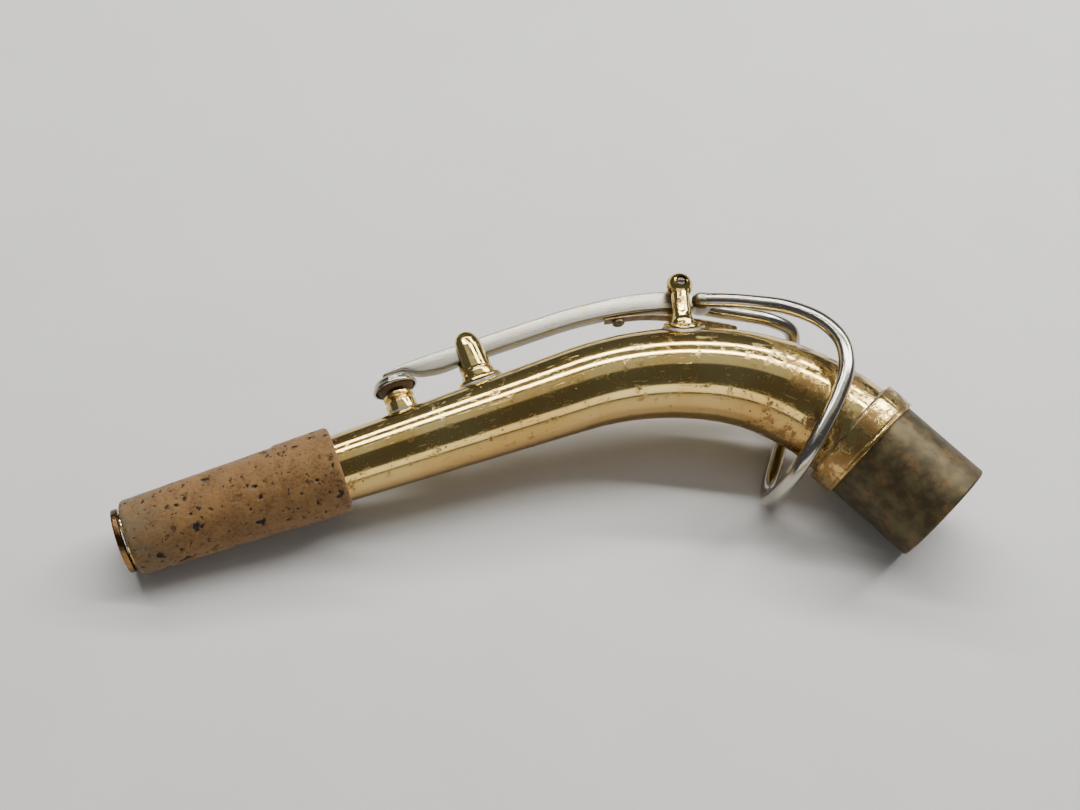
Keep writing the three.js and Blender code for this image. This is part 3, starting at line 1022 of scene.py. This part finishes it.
def crust_sower(material: bpy.types.Material) -> GeometryTool:
    """A tree that scatters low crusts of tarnish over a surface.

    Args:
        material: the crust's finish.

    Returns:
        The tool.
    """
    tool = GeometryTool("tarnish crusts", {"Density": 90000.0, "Crust Size": 0.0002})
    joins = {"Mesh": tool.start.outputs[0], "Density": tool.value("Density"), "Seed": 7}
    spread = tool.add("GeometryNodeDistributePointsOnFaces", joins)
    joins = {"Radius": tool.value("Crust Size"), "Subdivisions": 2}
    grain = tool.add("GeometryNodeMeshIcoSphere", joins).outputs[0]
    joins = {"Min": (0.3, 0.3, 0.08), "Max": (1.2, 1.2, 0.22), "Seed": 3}
    size = tool.add("FunctionNodeRandomValue", joins, data_type="FLOAT_VECTOR").outputs[0]
    joins = {"Points": spread.outputs[0], "Instance": grain, "Rotation": spread.outputs[2], "Scale": size}
    tool.close(tool.add("GeometryNodeInstanceOnPoints", joins).outputs[0], material)
    return tool


# ---- the neck ----


@dataclass
class TubeAndTenon:
    """The conical tube with its tip ring, collar and tenon.

    Attributes:
        tube: first and last station of the tube.
        wall: its wall.
        tip: length and radius of the tip ring.
        tenon: first and last station, radius and wall of the tenon.
        collar: first and last station, radius, and station of the seat inside it.
    """

    finishes: Finishes
    tube: Pair = (1.6, 168.5)
    wall: float = 0.8
    tip: Pair = (1.3, 6.8)
    tenon: tuple[float, float, float, float] = (168.9, 191.2, 12.2, 1.0)
    collar: tuple[float, float, float, float] = (164.6, 170.6, 13.1, 168.7)

    def build(self) -> None:
        """Makes and dresses every piece of it."""
        f = self.finishes
        dress(self.conical_tube(), f.tube, Body.NECK, Slot.BRASS, "neck_tube")
        dress(self.tip_ring(), f.tip, Body.NECK, Slot.BRASS, "tip_ring")
        dress(self.collar_band(), f.collar, Body.NECK, Slot.BRASS, "tenon_collar")
        dress(self.tenon_sleeve(), f.tenon, Body.NECK, Slot.TARNISHED, "tenon_sleeve")
        dress(self.collar_seam(), f.solder, Body.NECK, Slot.TARNISHED)
        dress(self.crusts(), f.rust, Body.NECK, Slot.TARNISHED)

    def conical_tube(self) -> bpy.types.Object:
        """The tube, open at both ends, with the octave vent through its top."""
        start, stop = self.tube
        knots = [start, LINE.cone[1][0], stop]
        outside = [(s, LINE.radius(s)) for s in knots]
        inside = [(s, LINE.radius(s) - self.wall) for s in reversed(knots)]
        obj = turned_on_neck("conical_tube", [*outside, *inside], facets=128, step=0.9)
        cut(obj, rod(1.2, 2.0, 12.0, standing(63.3)))
        return obj

    def tip_ring(self) -> bpy.types.Object:
        """The thick ring on the tip."""
        length, radius = self.tip
        bore = LINE.radius(0) - self.wall
        corners = [(0.0, bore), (0.0, radius), (length, radius), (length, bore)]
        return turned_on_neck("tip_ring_turned", rounded(corners, 0.35))

    def collar_band(self) -> bpy.types.Object:
        """The band between tube and tenon, with softly rounded edges and a shallow groove."""
        start, stop, radius, seat = self.collar
        inner, outer = LINE.radius(seat) + 0.3, self.tenon[2] + 0.3
        corners = [
            (start, inner), (start, radius - 0.1), (start + 0.5, radius), (stop - 1.15, radius),
            (stop - 1.0, radius - 0.14), (stop - 0.8, radius - 0.14), (stop - 0.65, radius),
            (stop, radius - 0.05), (stop, outer), (seat, outer), (seat, inner),
        ]
        return turned_on_neck("tenon_collar_band", rounded(corners, 0.22))

    def tenon_sleeve(self) -> bpy.types.Object:
        """The tenon, with a small chamfer at its end."""
        start, stop, radius, wall = self.tenon
        corners = [
            (start, radius - wall), (start, radius), (stop - 0.35, radius), (stop, radius - 0.3),
            (stop, radius - wall + 0.25), (stop - 0.3, radius - wall),
        ]
        return turned_on_neck("tenon_sleeve_turned", rounded(corners, 0.12))

    def collar_seam(self) -> bpy.types.Object:
        """The thin line of solder where the collar meets the tube."""
        start = self.collar[0]
        foot = LINE.radius(start) - 0.1
        corners = [(start - 0.45, foot), (start + 0.1, foot + 0.75), (start + 0.3, foot)]
        return turned_on_neck("collar_solder", rounded(corners, 0.15))

    def crusts(self) -> bpy.types.Object:
        """Small crusts of tarnish on the tube under the loop and before the collar."""
        rows = []
        for i in range(60):
            s = 134.0 + 30.0 * i / 59
            rows.append(section(LINE.at(s), LINE.radius(s) + 0.005, 48))
        skin = grid("tarnish_crusts", rows, ring=False, capped=False)
        return crust_sower(self.finishes.rust).run(skin, Density=140000.0, Crust_Size=0.00022)


@dataclass
class CorkSleeve:
    """The cork that the mouthpiece is pushed over."""

    finishes: Finishes
    start: float = 1.9
    end: float = 46.5
    edge: float = 0.8
    radii: tuple[float, float, float] = (7.95, 8.75, 9.3)
    step: Pair = (34.0, 0.3)

    def build(self) -> None:
        """Makes and dresses the cork."""
        start_r, step_r, end_r = self.radii
        at, rise = self.step
        corners = [
            (self.start, LINE.radius(self.start) + 0.15), (self.start, start_r - self.edge),
            (self.start + 0.3, start_r - 0.2), (self.start + self.edge, start_r), (at, step_r),
            (at + 1.0, step_r + rise), (self.end - self.edge, end_r), (self.end - 0.25, end_r - 0.25),
            (self.end, end_r - self.edge), (self.end, LINE.radius(self.end) + 0.15),
        ]
        obj = turned_on_neck("cork_sleeve", rounded(corners, 0.25), facets=224, step=0.28)
        measure(obj)
        cork_sander(self.finishes.cork).run(obj, Roughness_Depth=0.00014, Pore_Depth=0.0003)
        dress(obj, self.finishes.cork, Body.NECK, Slot.CORK, "neck_cork")


@dataclass
class OctavePip:
    """The small chimney that the pad closes."""

    finishes: Finishes
    at: float = 63.3
    bore: float = 1.2
    radius: float = 3.35
    top: float = 12.65

    def build(self) -> None:
        """Makes and dresses the pip and its solder."""
        f = self.finishes
        foot = LINE.radius(self.at) - 0.5
        b, r, t = self.bore, self.radius, self.top
        corners = [
            (b, foot), (r + 0.05, foot), (r + 0.05, t - 3.0), (r - 0.15, t - 2.75), (r - 0.75, t - 2.45),
            (r - 0.75, t - 2.05), (r - 0.1, t - 1.75), (r, t - 1.55), (r, t - 0.95), (r - 0.8, t - 0.4),
            (r - 1.2, t), (b + 0.5, t), (b, t - 0.35),
        ]
        pip = turned("octave_pip_turned", rounded(corners, 0.16), standing(self.at), 96)
        dress(pip, f.fitting, Body.NECK, Slot.BRASS, "octave_pip")
        ring = [(0.93, -0.2), (1.22, -0.1), (1.12, 0.16), (0.99, 0.5), (0.93, 0.5)]
        seam = collar_on_tube("pip_solder", (self.at, 0.0), (r, r), rounded(ring, 0.06))
        dress(seam, f.solder, Body.NECK, Slot.BRASS)


@dataclass
class KeyGuide:
    """The slotted bullet that keeps the key's arm in line, on its saddle."""

    finishes: Finishes
    at: float = 81.4
    reach: Pair = (5.0, 3.8)
    thickness: float = 1.5
    slot: float = 3.5
    slot_floor: float = 13.3

    def build(self) -> None:
        """Makes and dresses saddle, solder and post."""
        f = self.finishes
        top = self.thickness
        plate = [(0.0, -0.1), (1.0, -0.1), (1.0, 0.8), (0.92, 1.2), (0.7, top), (0.0, top)]
        flange = collar_on_tube("guide_saddle_plate", (self.at, 0.0), self.reach, rounded(plate, 0.1, False))
        dress(flange, f.fitting, Body.NECK, Slot.BRASS, "guide_saddle")
        ring = [(0.94, -0.15), (1.10, -0.05), (1.03, 0.2), (0.99, 0.42), (0.94, 0.42)]
        seam = collar_on_tube("guide_solder", (self.at, 0.0), self.reach, rounded(ring, 0.04))
        dress(seam, f.solder, Body.NECK, Slot.BRASS)
        dress(self.post(), f.fitting, Body.NECK, Slot.BRASS, "guide_post")

    def post(self) -> bpy.types.Object:
        """The post: a beaded foot and a bullet with the arm's slot through it."""
        corners = [
            (0.0, 9.2), (3.8, 9.2), (3.85, 10.6), (3.7, 10.95), (3.42, 11.1), (3.42, 11.35), (3.58, 11.6),
            (3.45, 15.0), (3.38, 17.0), (3.12, 18.6), (2.7, 19.6), (2.2, 20.3), (1.6, 20.8), (0.8, 21.03),
            (0.0, 21.1),
        ]
        obj = turned("key_guide_post", rounded(corners, 0.2, False), standing(self.at), 96)
        cut(obj, block((12, self.slot, 10), standing(self.at, 0, self.slot_floor + 5)))
        return obj


@dataclass
class HingePosts:
    """The two posts, the hinge screw and the spring's wear plate."""

    finishes: Finishes
    at: float = 124.8
    height: float = 19.6
    side: float = 4.0
    ball: float = 2.95
    stem: float = 2.0
    foot: float = 9.4
    reach: Pair = (3.8, 3.8)
    gap: float = 4.1
    screw: float = 0.95
    plate: tuple[float, float, float, float] = (129.4, 135.6, 6.0, 1.1)

    def build(self) -> None:
        """Makes and dresses every piece of it."""
        f = self.finishes
        for side, name in ((-1, "near"), (1, "far")):
            node = f"hinge_post_{name}"
            dress(self.post(side, f"key_post_{name}"), f.fitting, Body.NECK, Slot.BRASS, node)
            ring = [(0.95, -0.15), (1.16, -0.05), (1.06, 0.2), (1.0, 0.4), (0.95, 0.4)]
            spot = (self.at, side * self.side)
            seam = collar_on_tube(f"post_solder_{name}", spot, self.reach, rounded(ring, 0.05))
            dress(seam, f.solder, Body.NECK, Slot.BRASS)
        dress(self.hinge_screw(), f.steel, Body.NECK, Slot.STEEL, "hinge_screw")
        dress(self.wear_plate(), f.fitting, Body.NECK, Slot.BRASS, "spring_plate")

    def post(self, side: int, name: str) -> bpy.types.Object:
        """One post.

        Args:
            side: -1 for the near one, 1 for the far one.
            name: the piece's name.

        Returns:
            The post: flange, stem and drilled ball in one piece.
        """
        start = math.pi - math.asin(self.stem / self.ball)
        turns = [start * (1 - i / 16) for i in range(17)]
        dome = [(self.ball * math.sin(a), self.height + self.ball * math.cos(a)) for a in turns]
        foot = self.foot
        stem = [(0.0, foot - 1.5), (3.0, foot - 1.5), (3.0, foot + 0.7), (2.75, foot + 1.2)]
        waist = [(2.45, foot + 1.7), (2.12, foot + 3.0), (2.0, foot + 5.5)]
        profile = [*rounded([*stem, *waist], 0.3, False), *dome[:-1], (0.0, self.height + self.ball)]
        place = standing(self.at, side * self.side)
        obj = turned(name, profile, place, 96)
        plate = [(0.0, -0.1), (1.0, -0.1), (1.0, 0.85), (0.93, 1.15), (0.8, 1.25), (0.0, 1.25)]
        spot = (self.at, side * self.side)
        flange = collar_on_tube(name + "_foot", spot, self.reach, rounded(plate, 0.05, False))
        combine(obj, flange, "UNION")
        cut(obj, rod(1.25, -12, 12, across(self.at, self.height)))
        cut(obj, block((12, self.gap, 9), standing(self.at, 0, self.height)))
        return obj

    def hinge_screw(self) -> bpy.types.Object:
        """The screw through both posts, with a driver's slot in its near end."""
        near, far = -(self.side + self.ball - 0.6), self.side + self.ball - 1.2
        corners = [(0.0, near), (self.screw, near), (self.screw, far), (0.0, far)]
        obj = turned("hinge_rod_screw", rounded(corners, 0.12, False), across(self.at, self.height), 48)
        cut(obj, block((5, 1.1, 0.38), standing(self.at, near, self.height)))
        return obj

    def wear_plate(self) -> bpy.types.Object:
        """The small curved plate that the spring's end slides on."""
        start, stop, width, thick = self.plate
        rows = []
        for i in range(13):
            s = start + (stop - start) * i / 12
            shrink = 0.25 if i in (0, 12) else 0.0
            low, high = LINE.radius(s) + 0.02, LINE.radius(s) + thick - shrink
            tilts = [math.asin((width / 2 - shrink) * (k / 8 - 1) / high) for k in range(17)]
            over = [LINE.on(s, high * math.sin(t), high * math.cos(t)) for t in tilts]
            under = [LINE.on(s, low * math.sin(t), low * math.cos(t)) for t in reversed(tilts)]
            rows.append([*over, *under])
        return grid("spring_wear_plate", rows, ring=False, capped=True)


# ---- the octave key ----


@dataclass
class OctaveKey:
    """The whole key: arm, hinge tube, loop, spring and pad cup."""

    finishes: Finishes
    width: float = 3.0
    hinge: Pair = (124.8, 19.6)
    hinge_tube: tuple[float, float, float] = (1.25, 2.1, 3.5)
    rod_radius: float = 1.7
    pad_at: float = 63.3

    arm_top: tuple[Pair, ...] = (
        (61.6, 17.25), (64.0, 17.6), (66.5, 17.95), (70.0, 18.2), (78.0, 18.3), (94.0, 18.55),
        (110.0, 18.85), (118.0, 19.4), (124.0, 19.5), (128.7, 18.9),
    )
    arm_bottom: tuple[Pair, ...] = (
        (61.6, 16.5), (64.5, 16.55), (66.6, 16.4), (68.8, 14.9), (72.0, 14.1), (80.0, 14.15),
        (94.0, 14.35), (110.0, 14.6), (118.0, 14.85), (124.0, 15.0), (128.7, 15.5),
    )
    loop: tuple[Triple, ...] = (
        (129.0, -1.85, 17.2), (133.0, -2.9, 17.1), (137.5, -4.4, 16.9), (143.0, -7.4, 16.2),
        (148.7, -11.3, 13.7), (153.1, -13.8, 9.9), (156.3, -14.7, 4.3), (157.9, -14.7, -2.0),
        (159.0, -14.1, -8.6), (160.1, -12.2, -15.2), (160.5, -8.2, -19.7), (160.2, -2.5, -22.0),
        (159.5, 3.0, -22.4), (158.3, 8.7, -20.8), (156.3, 12.8, -16.4), (154.5, 14.5, -9.6),
        (152.9, 14.8, -2.2), (151.2, 14.6, 4.6), (149.3, 13.8, 11.0), (147.6, 11.3, 16.2),
        (146.0, 7.6, 18.9), (142.2, 4.8, 18.5), (137.5, 3.7, 17.7), (133.0, 2.8, 17.2), (129.0, 1.85, 17.2),
    )
    spring: tuple[Pair, ...] = (
        (110.6, 14.3), (113.2, 14.3), (117.2, 14.25), (124.1, 13.5), (130.0, 12.68), (135.0, 12.2),
    )
    spring_bend: tuple[Pair, Pair] = ((115.5, 14.0), (131.5, 12.4))
    screw_at: float = 113.2
    braze_at: Pair = (129.2, 17.2)
    braze_half: Triple = (2.0, 3.75, 1.95)

    def build(self) -> None:
        """Makes and dresses every piece of it."""
        f = self.finishes
        dress(self.arm(), f.arm, Body.KEY, Slot.NICKEL, "key_arm")
        dress(self.barrel(), f.nickel, Body.KEY, Slot.NICKEL, "hinge_tube")
        dress(self.bent_loop(), f.nickel, Body.KEY, Slot.NICKEL, "key_loop")
        dress(self.braze(), f.arm, Body.KEY, Slot.NICKEL)
        self.hang_spring()
        dress(self.spring_screw(), f.steel, Body.KEY, Slot.STEEL, "spring_screw")
        dress(self.pad_cup(), f.cup, Body.KEY, Slot.NICKEL, "pad_cup")
        dress(self.disc("pad_felt_disc", 13.55, 0.9), f.felt, Body.KEY, Slot.FELT, "pad_felt")
        dress(self.disc("pad_card_disc", 14.75, 0.5), f.card, Body.KEY, Slot.CARD, "pad_card")
        skin = dress(self.pad_skin(), f.leather, Body.KEY, Slot.LEATHER, "pad_skin")

    def arm(self) -> bpy.types.Object:
        """The flat bar on edge, hollowed for the hinge tube."""
        obj = bar_on_neck("key_arm_bar", self.arm_top, self.arm_bottom, self.width, 0.55)
        cut(obj, rod(self.hinge_tube[1] + 0.05, -4, 4, across(*self.hinge)))
        return obj

    def barrel(self) -> bpy.types.Object:
        """The hinge tube across the arm."""
        bore, radius, length = self.hinge_tube
        half = length / 2
        corners = [(bore, -half), (radius, -half), (radius, half), (bore, half)]
        return turned("hinge_barrel", rounded(corners, 0.18), across(*self.hinge), 72)

    def bent_loop(self) -> bpy.types.Object:
        """The loop, bent from one round rod."""
        knots = [LINE.on(*knot) for knot in self.loop]
        wire = smooth_path(knots, 16)
        mesh = bpy.data.meshes.new("key_loop_rod")
        mesh.from_pydata([p * MM for p in wire], [(i, i + 1) for i in range(len(wire) - 1)], [])
        obj = put_in_scene("key_loop_rod", mesh)
        return rod_bender(self.finishes.nickel).run(obj, Rod_Radius=self.rod_radius * MM, Facets=28)

    def braze(self) -> bpy.types.Object:
        """The run of braze that joins both ends of the rod to the arm."""
        middle, height = self.braze_at
        along, wide, tall = self.braze_half
        rows = []
        for i in range(17):
            t = math.pi * i / 16
            place = standing(middle - along * math.cos(t), 0, height)
            size = max(0.001, math.sin(t) ** 0.6)
            row = []
            for a in around(48):
                out = math.copysign(abs(math.cos(a)) ** 0.7, math.cos(a))
                up = math.copysign(abs(math.sin(a)) ** 0.7, math.sin(a))
                row.append(place @ Vector((0, wide * size * out, tall * size * up)))
            rows.append(row)
        return grid("loop_braze", rows, ring=False, capped=True)

    def hang_spring(self) -> None:
        """Dresses the spring, whose screwed end goes with the key while its free end stays on the neck."""
        spring = dress(self.flat_spring(), self.finishes.bronze, Body.KEY, Slot.BRONZE, "key_spring")
        spring.parent = None
        start, end = (LINE.on(s, 0, h) * MM for s, h in self.spring_bend)
        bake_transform(spring, Body.KEY.value, Body.NECK.value, start=start, end=end)

    def flat_spring(self) -> bpy.types.Object:
        """The flat spring, bent from the arm down to the wear plate."""
        lower = [(s, h - 0.4) for s, h in self.spring]
        return bar_on_neck("flat_key_spring", self.spring, lower, 2.6, 0.12)

    def spring_screw(self) -> bpy.types.Object:
        """The slotted screw that holds the spring, its head downward."""
        under = 13.6
        corners = [
            (0.0, under - 0.95), (0.9, under - 0.9), (1.4, under - 0.55), (1.4, under), (0.8, under),
            (0.8, 16.5), (0.0, 16.5),
        ]
        obj = turned("spring_screw_head", rounded(corners, 0.12, False), standing(self.screw_at), 48)
        cut(obj, block((6, 0.45, 0.8), standing(self.screw_at, 0, under - 0.9)))
        return obj

    def pad_cup(self) -> bpy.types.Object:
        """The pad cup: domed crown, thin wall and rolled rim."""
        corners = [
            (0.0, 16.22), (1.8, 16.1), (3.2, 15.72), (4.1, 15.1), (4.55, 14.4), (4.6, 14.15), (4.86, 13.95),
            (4.95, 13.65), (4.9, 13.35), (4.68, 13.18), (4.42, 13.3), (4.4, 14.8), (3.9, 15.4), (0.0, 15.42),
        ]
        return turned("pad_cup_spun", rounded(corners, 0.14, False), standing(self.pad_at), 96)

    def pad_skin(self) -> bpy.types.Object:
        """The leather, drawn over the felt, with the ring that the pip has pressed in it."""
        corners = [
            (0.0, 12.93), (1.5, 12.95), (1.9, 13.06), (2.3, 13.04), (2.8, 12.92), (3.5, 12.96), (3.92, 13.16),
            (4.05, 13.5), (4.05, 14.9), (3.75, 14.9), (3.75, 13.5), (3.45, 13.26), (0.0, 13.25),
        ]
        return turned("pad_leather_skin", rounded(corners, 0.1, False), standing(self.pad_at), 96)

    def disc(self, name: str, low: float, thick: float) -> bpy.types.Object:
        """A disc inside the pad.

        Args:
            name: the piece's name.
            low: height of its lower face.
            thick: its thickness.

        Returns:
            The disc, its edge softly rounded.
        """
        corners = [(0.0, low), (3.45, low), (3.45, low + thick), (0.0, low + thick)]
        return turned(name, rounded(corners, 0.15, False), standing(self.pad_at), 64)


def between(a: Vector, b: Vector, start: float, stop: float, x: float) -> Vector:
    """The point between a, at start, and b, at stop, for the value x."""
    return a * ((stop - x) / (stop - start)) + b * ((x - start) / (stop - start))


def smooth_path(knots: Sequence[Vector], cuts: int) -> list[Vector]:
    """Samples a centripetal curve through the knots.

    Args:
        knots: the points that it passes.
        cuts: samples from one knot to the next.

    Returns:
        The samples, in order.
    """
    first = knots[0] * 2 - knots[1]
    last = knots[-1] * 2 - knots[-2]
    whole = [first, *knots, last]
    made = []
    for i in range(1, len(whole) - 2):
        p = whole[i - 1 : i + 3]
        t = [0.0]
        for a, b in zip(p, p[1:]):
            t.append(t[-1] + math.sqrt((b - a).length))
        for k in range(cuts):
            x = t[1] + (t[2] - t[1]) * k / cuts
            first_level = [between(p[j], p[j + 1], t[j], t[j + 1], x) for j in range(3)]
            second = [between(first_level[j], first_level[j + 1], t[j], t[j + 2], x) for j in range(2)]
            made.append(between(second[0], second[1], t[1], t[2], x))
    made.append(knots[-1])
    return made


# ---- the studio ----


@dataclass
class Studio:
    """Plain floor, soft lights and the camera.

    Attributes:
        elevation: the camera's tilt seen from the neck's own level, in degrees.
        turn: the camera's turn round the neck's upright, in degrees.
        distance: from the camera to the middle of its view.
        aim: the middle of the view, from the tip, in the neck's own axes.
        lens: focal length.
    """

    elevation: float = -22.0
    turn: float = 4.2
    distance: float = 278.87
    aim: Triple = (85.62, 0.0, 32.57)
    lens: float = 42.667

    def build(self) -> None:
        """Makes floor, world, lights and camera."""
        self.floor()
        self.world()
        self.camera()
        softbox("first lamp", (0.02, 0.40, 0.47), (0.95, 0.035), 3.6, (1.0, 0.985, 0.96))
        softbox("second lamp", (0.02, 0.19, 0.56), (0.95, 0.035), 3.6, (1.0, 0.985, 0.96))
        softbox("ceiling", (0.0, -0.02, 0.75), (1.1, 0.30), 0.5, (1.0, 0.98, 0.95))
        softbox("front window", (0.05, -0.80, 0.22), (1.2, 0.30), 1.7, (1.0, 0.97, 0.92))
        softbox("side window", (0.42, 0.22, 0.42), (0.16, 0.20), 1.6, (1.0, 0.99, 0.97))

    def camera(self) -> None:
        """The camera, which looks up at the neck from below its own level."""
        e, t = math.radians(self.elevation), math.radians(self.turn)
        lie = LIE.to_3x3()
        right = lie @ Vector((math.cos(t), -math.sin(t), 0))
        ahead = lie @ Vector((math.sin(t) * math.cos(e), math.cos(t) * math.cos(e), -math.sin(e)))
        up = right.cross(ahead)
        place = LIE @ Vector(self.aim) - ahead * self.distance
        data = bpy.data.cameras.new("camera")
        data.lens, data.sensor_width, data.clip_start = self.lens, 36.0, 0.01
        obj = put_in_scene("camera", data)
        turn = Matrix((right, up, -ahead)).transposed().to_4x4()
        obj.matrix_world = Matrix.Translation(place * MM) @ turn
        bpy.context.scene.camera = obj

    def floor(self) -> None:
        """A wide pale floor with a faint grain."""
        mesh = bpy.data.meshes.new("floor")
        mesh.from_pydata([(-3, -3, 0), (3, -3, 0), (3, 3, 0), (-3, 3, 0)], [], [(0, 1, 2, 3)])
        obj = put_in_scene("floor", mesh)
        material = bpy.data.materials.new("pale floor")
        material.use_nodes = True
        bench = NodeBench(material.node_tree)
        place = bench.add("ShaderNodeTexCoord").outputs["Object"]
        grain = bench.add("ShaderNodeTexNoise", {"Vector": place, "Scale": 30.0, "Detail": 6.0}).outputs[0]
        mix = bench.add("ShaderNodeMix", {0: grain}, data_type="RGBA")
        mix.inputs[6].default_value = (0.60, 0.595, 0.58, 1)
        mix.inputs[7].default_value = (0.66, 0.655, 0.64, 1)
        shader = material.node_tree.nodes["Principled BSDF"]
        material.node_tree.links.new(mix.outputs[2], shader.inputs["Base Color"])
        shader.inputs["Roughness"].default_value = 0.75
        mesh.materials.append(material)

    def world(self) -> None:
        """A dim even room, so that the metal has something dark to show."""
        world = bpy.data.worlds.new("studio")
        world.use_nodes = True
        shade = world.node_tree.nodes["Background"]
        shade.inputs["Color"].default_value = (0.92, 0.95, 1.0, 1)
        shade.inputs["Strength"].default_value = 0.11
        bpy.context.scene.world = world


def softbox(name: str, place: Triple, size: Pair, power: float, colour: Triple) -> None:
    """Adds a soft light that faces the middle of the neck.

    Args:
        name: the light's name.
        place: where it hangs, in metres.
        size: its width and height in metres.
        power: its power in watts.
        colour: its colour.
    """
    data = bpy.data.lights.new(name, "AREA")
    data.shape, data.size, data.size_y = "RECTANGLE", size[0], size[1]
    data.energy, data.color = power, colour
    obj = put_in_scene(name, data)
    obj.location = place
    obj.rotation_euler = (Vector((0, 0, 0.015)) - Vector(place)).to_track_quat("-Z", "Y").to_euler()


def main() -> None:
    """Builds the neck's sub-assemblies in order."""
    logging.basicConfig(level=logging.INFO, format="%(message)s")
    finishes = Finishes()
    builders: list[Callable[[], None]] = [
        TubeAndTenon(finishes).build,
        CorkSleeve(finishes).build,
        OctavePip(finishes).build,
        KeyGuide(finishes).build,
        HingePosts(finishes).build,
        OctaveKey(finishes).build,
        Studio().build,
    ]
    for build in builders:
        build()


if __name__ == "__main__":
    main()
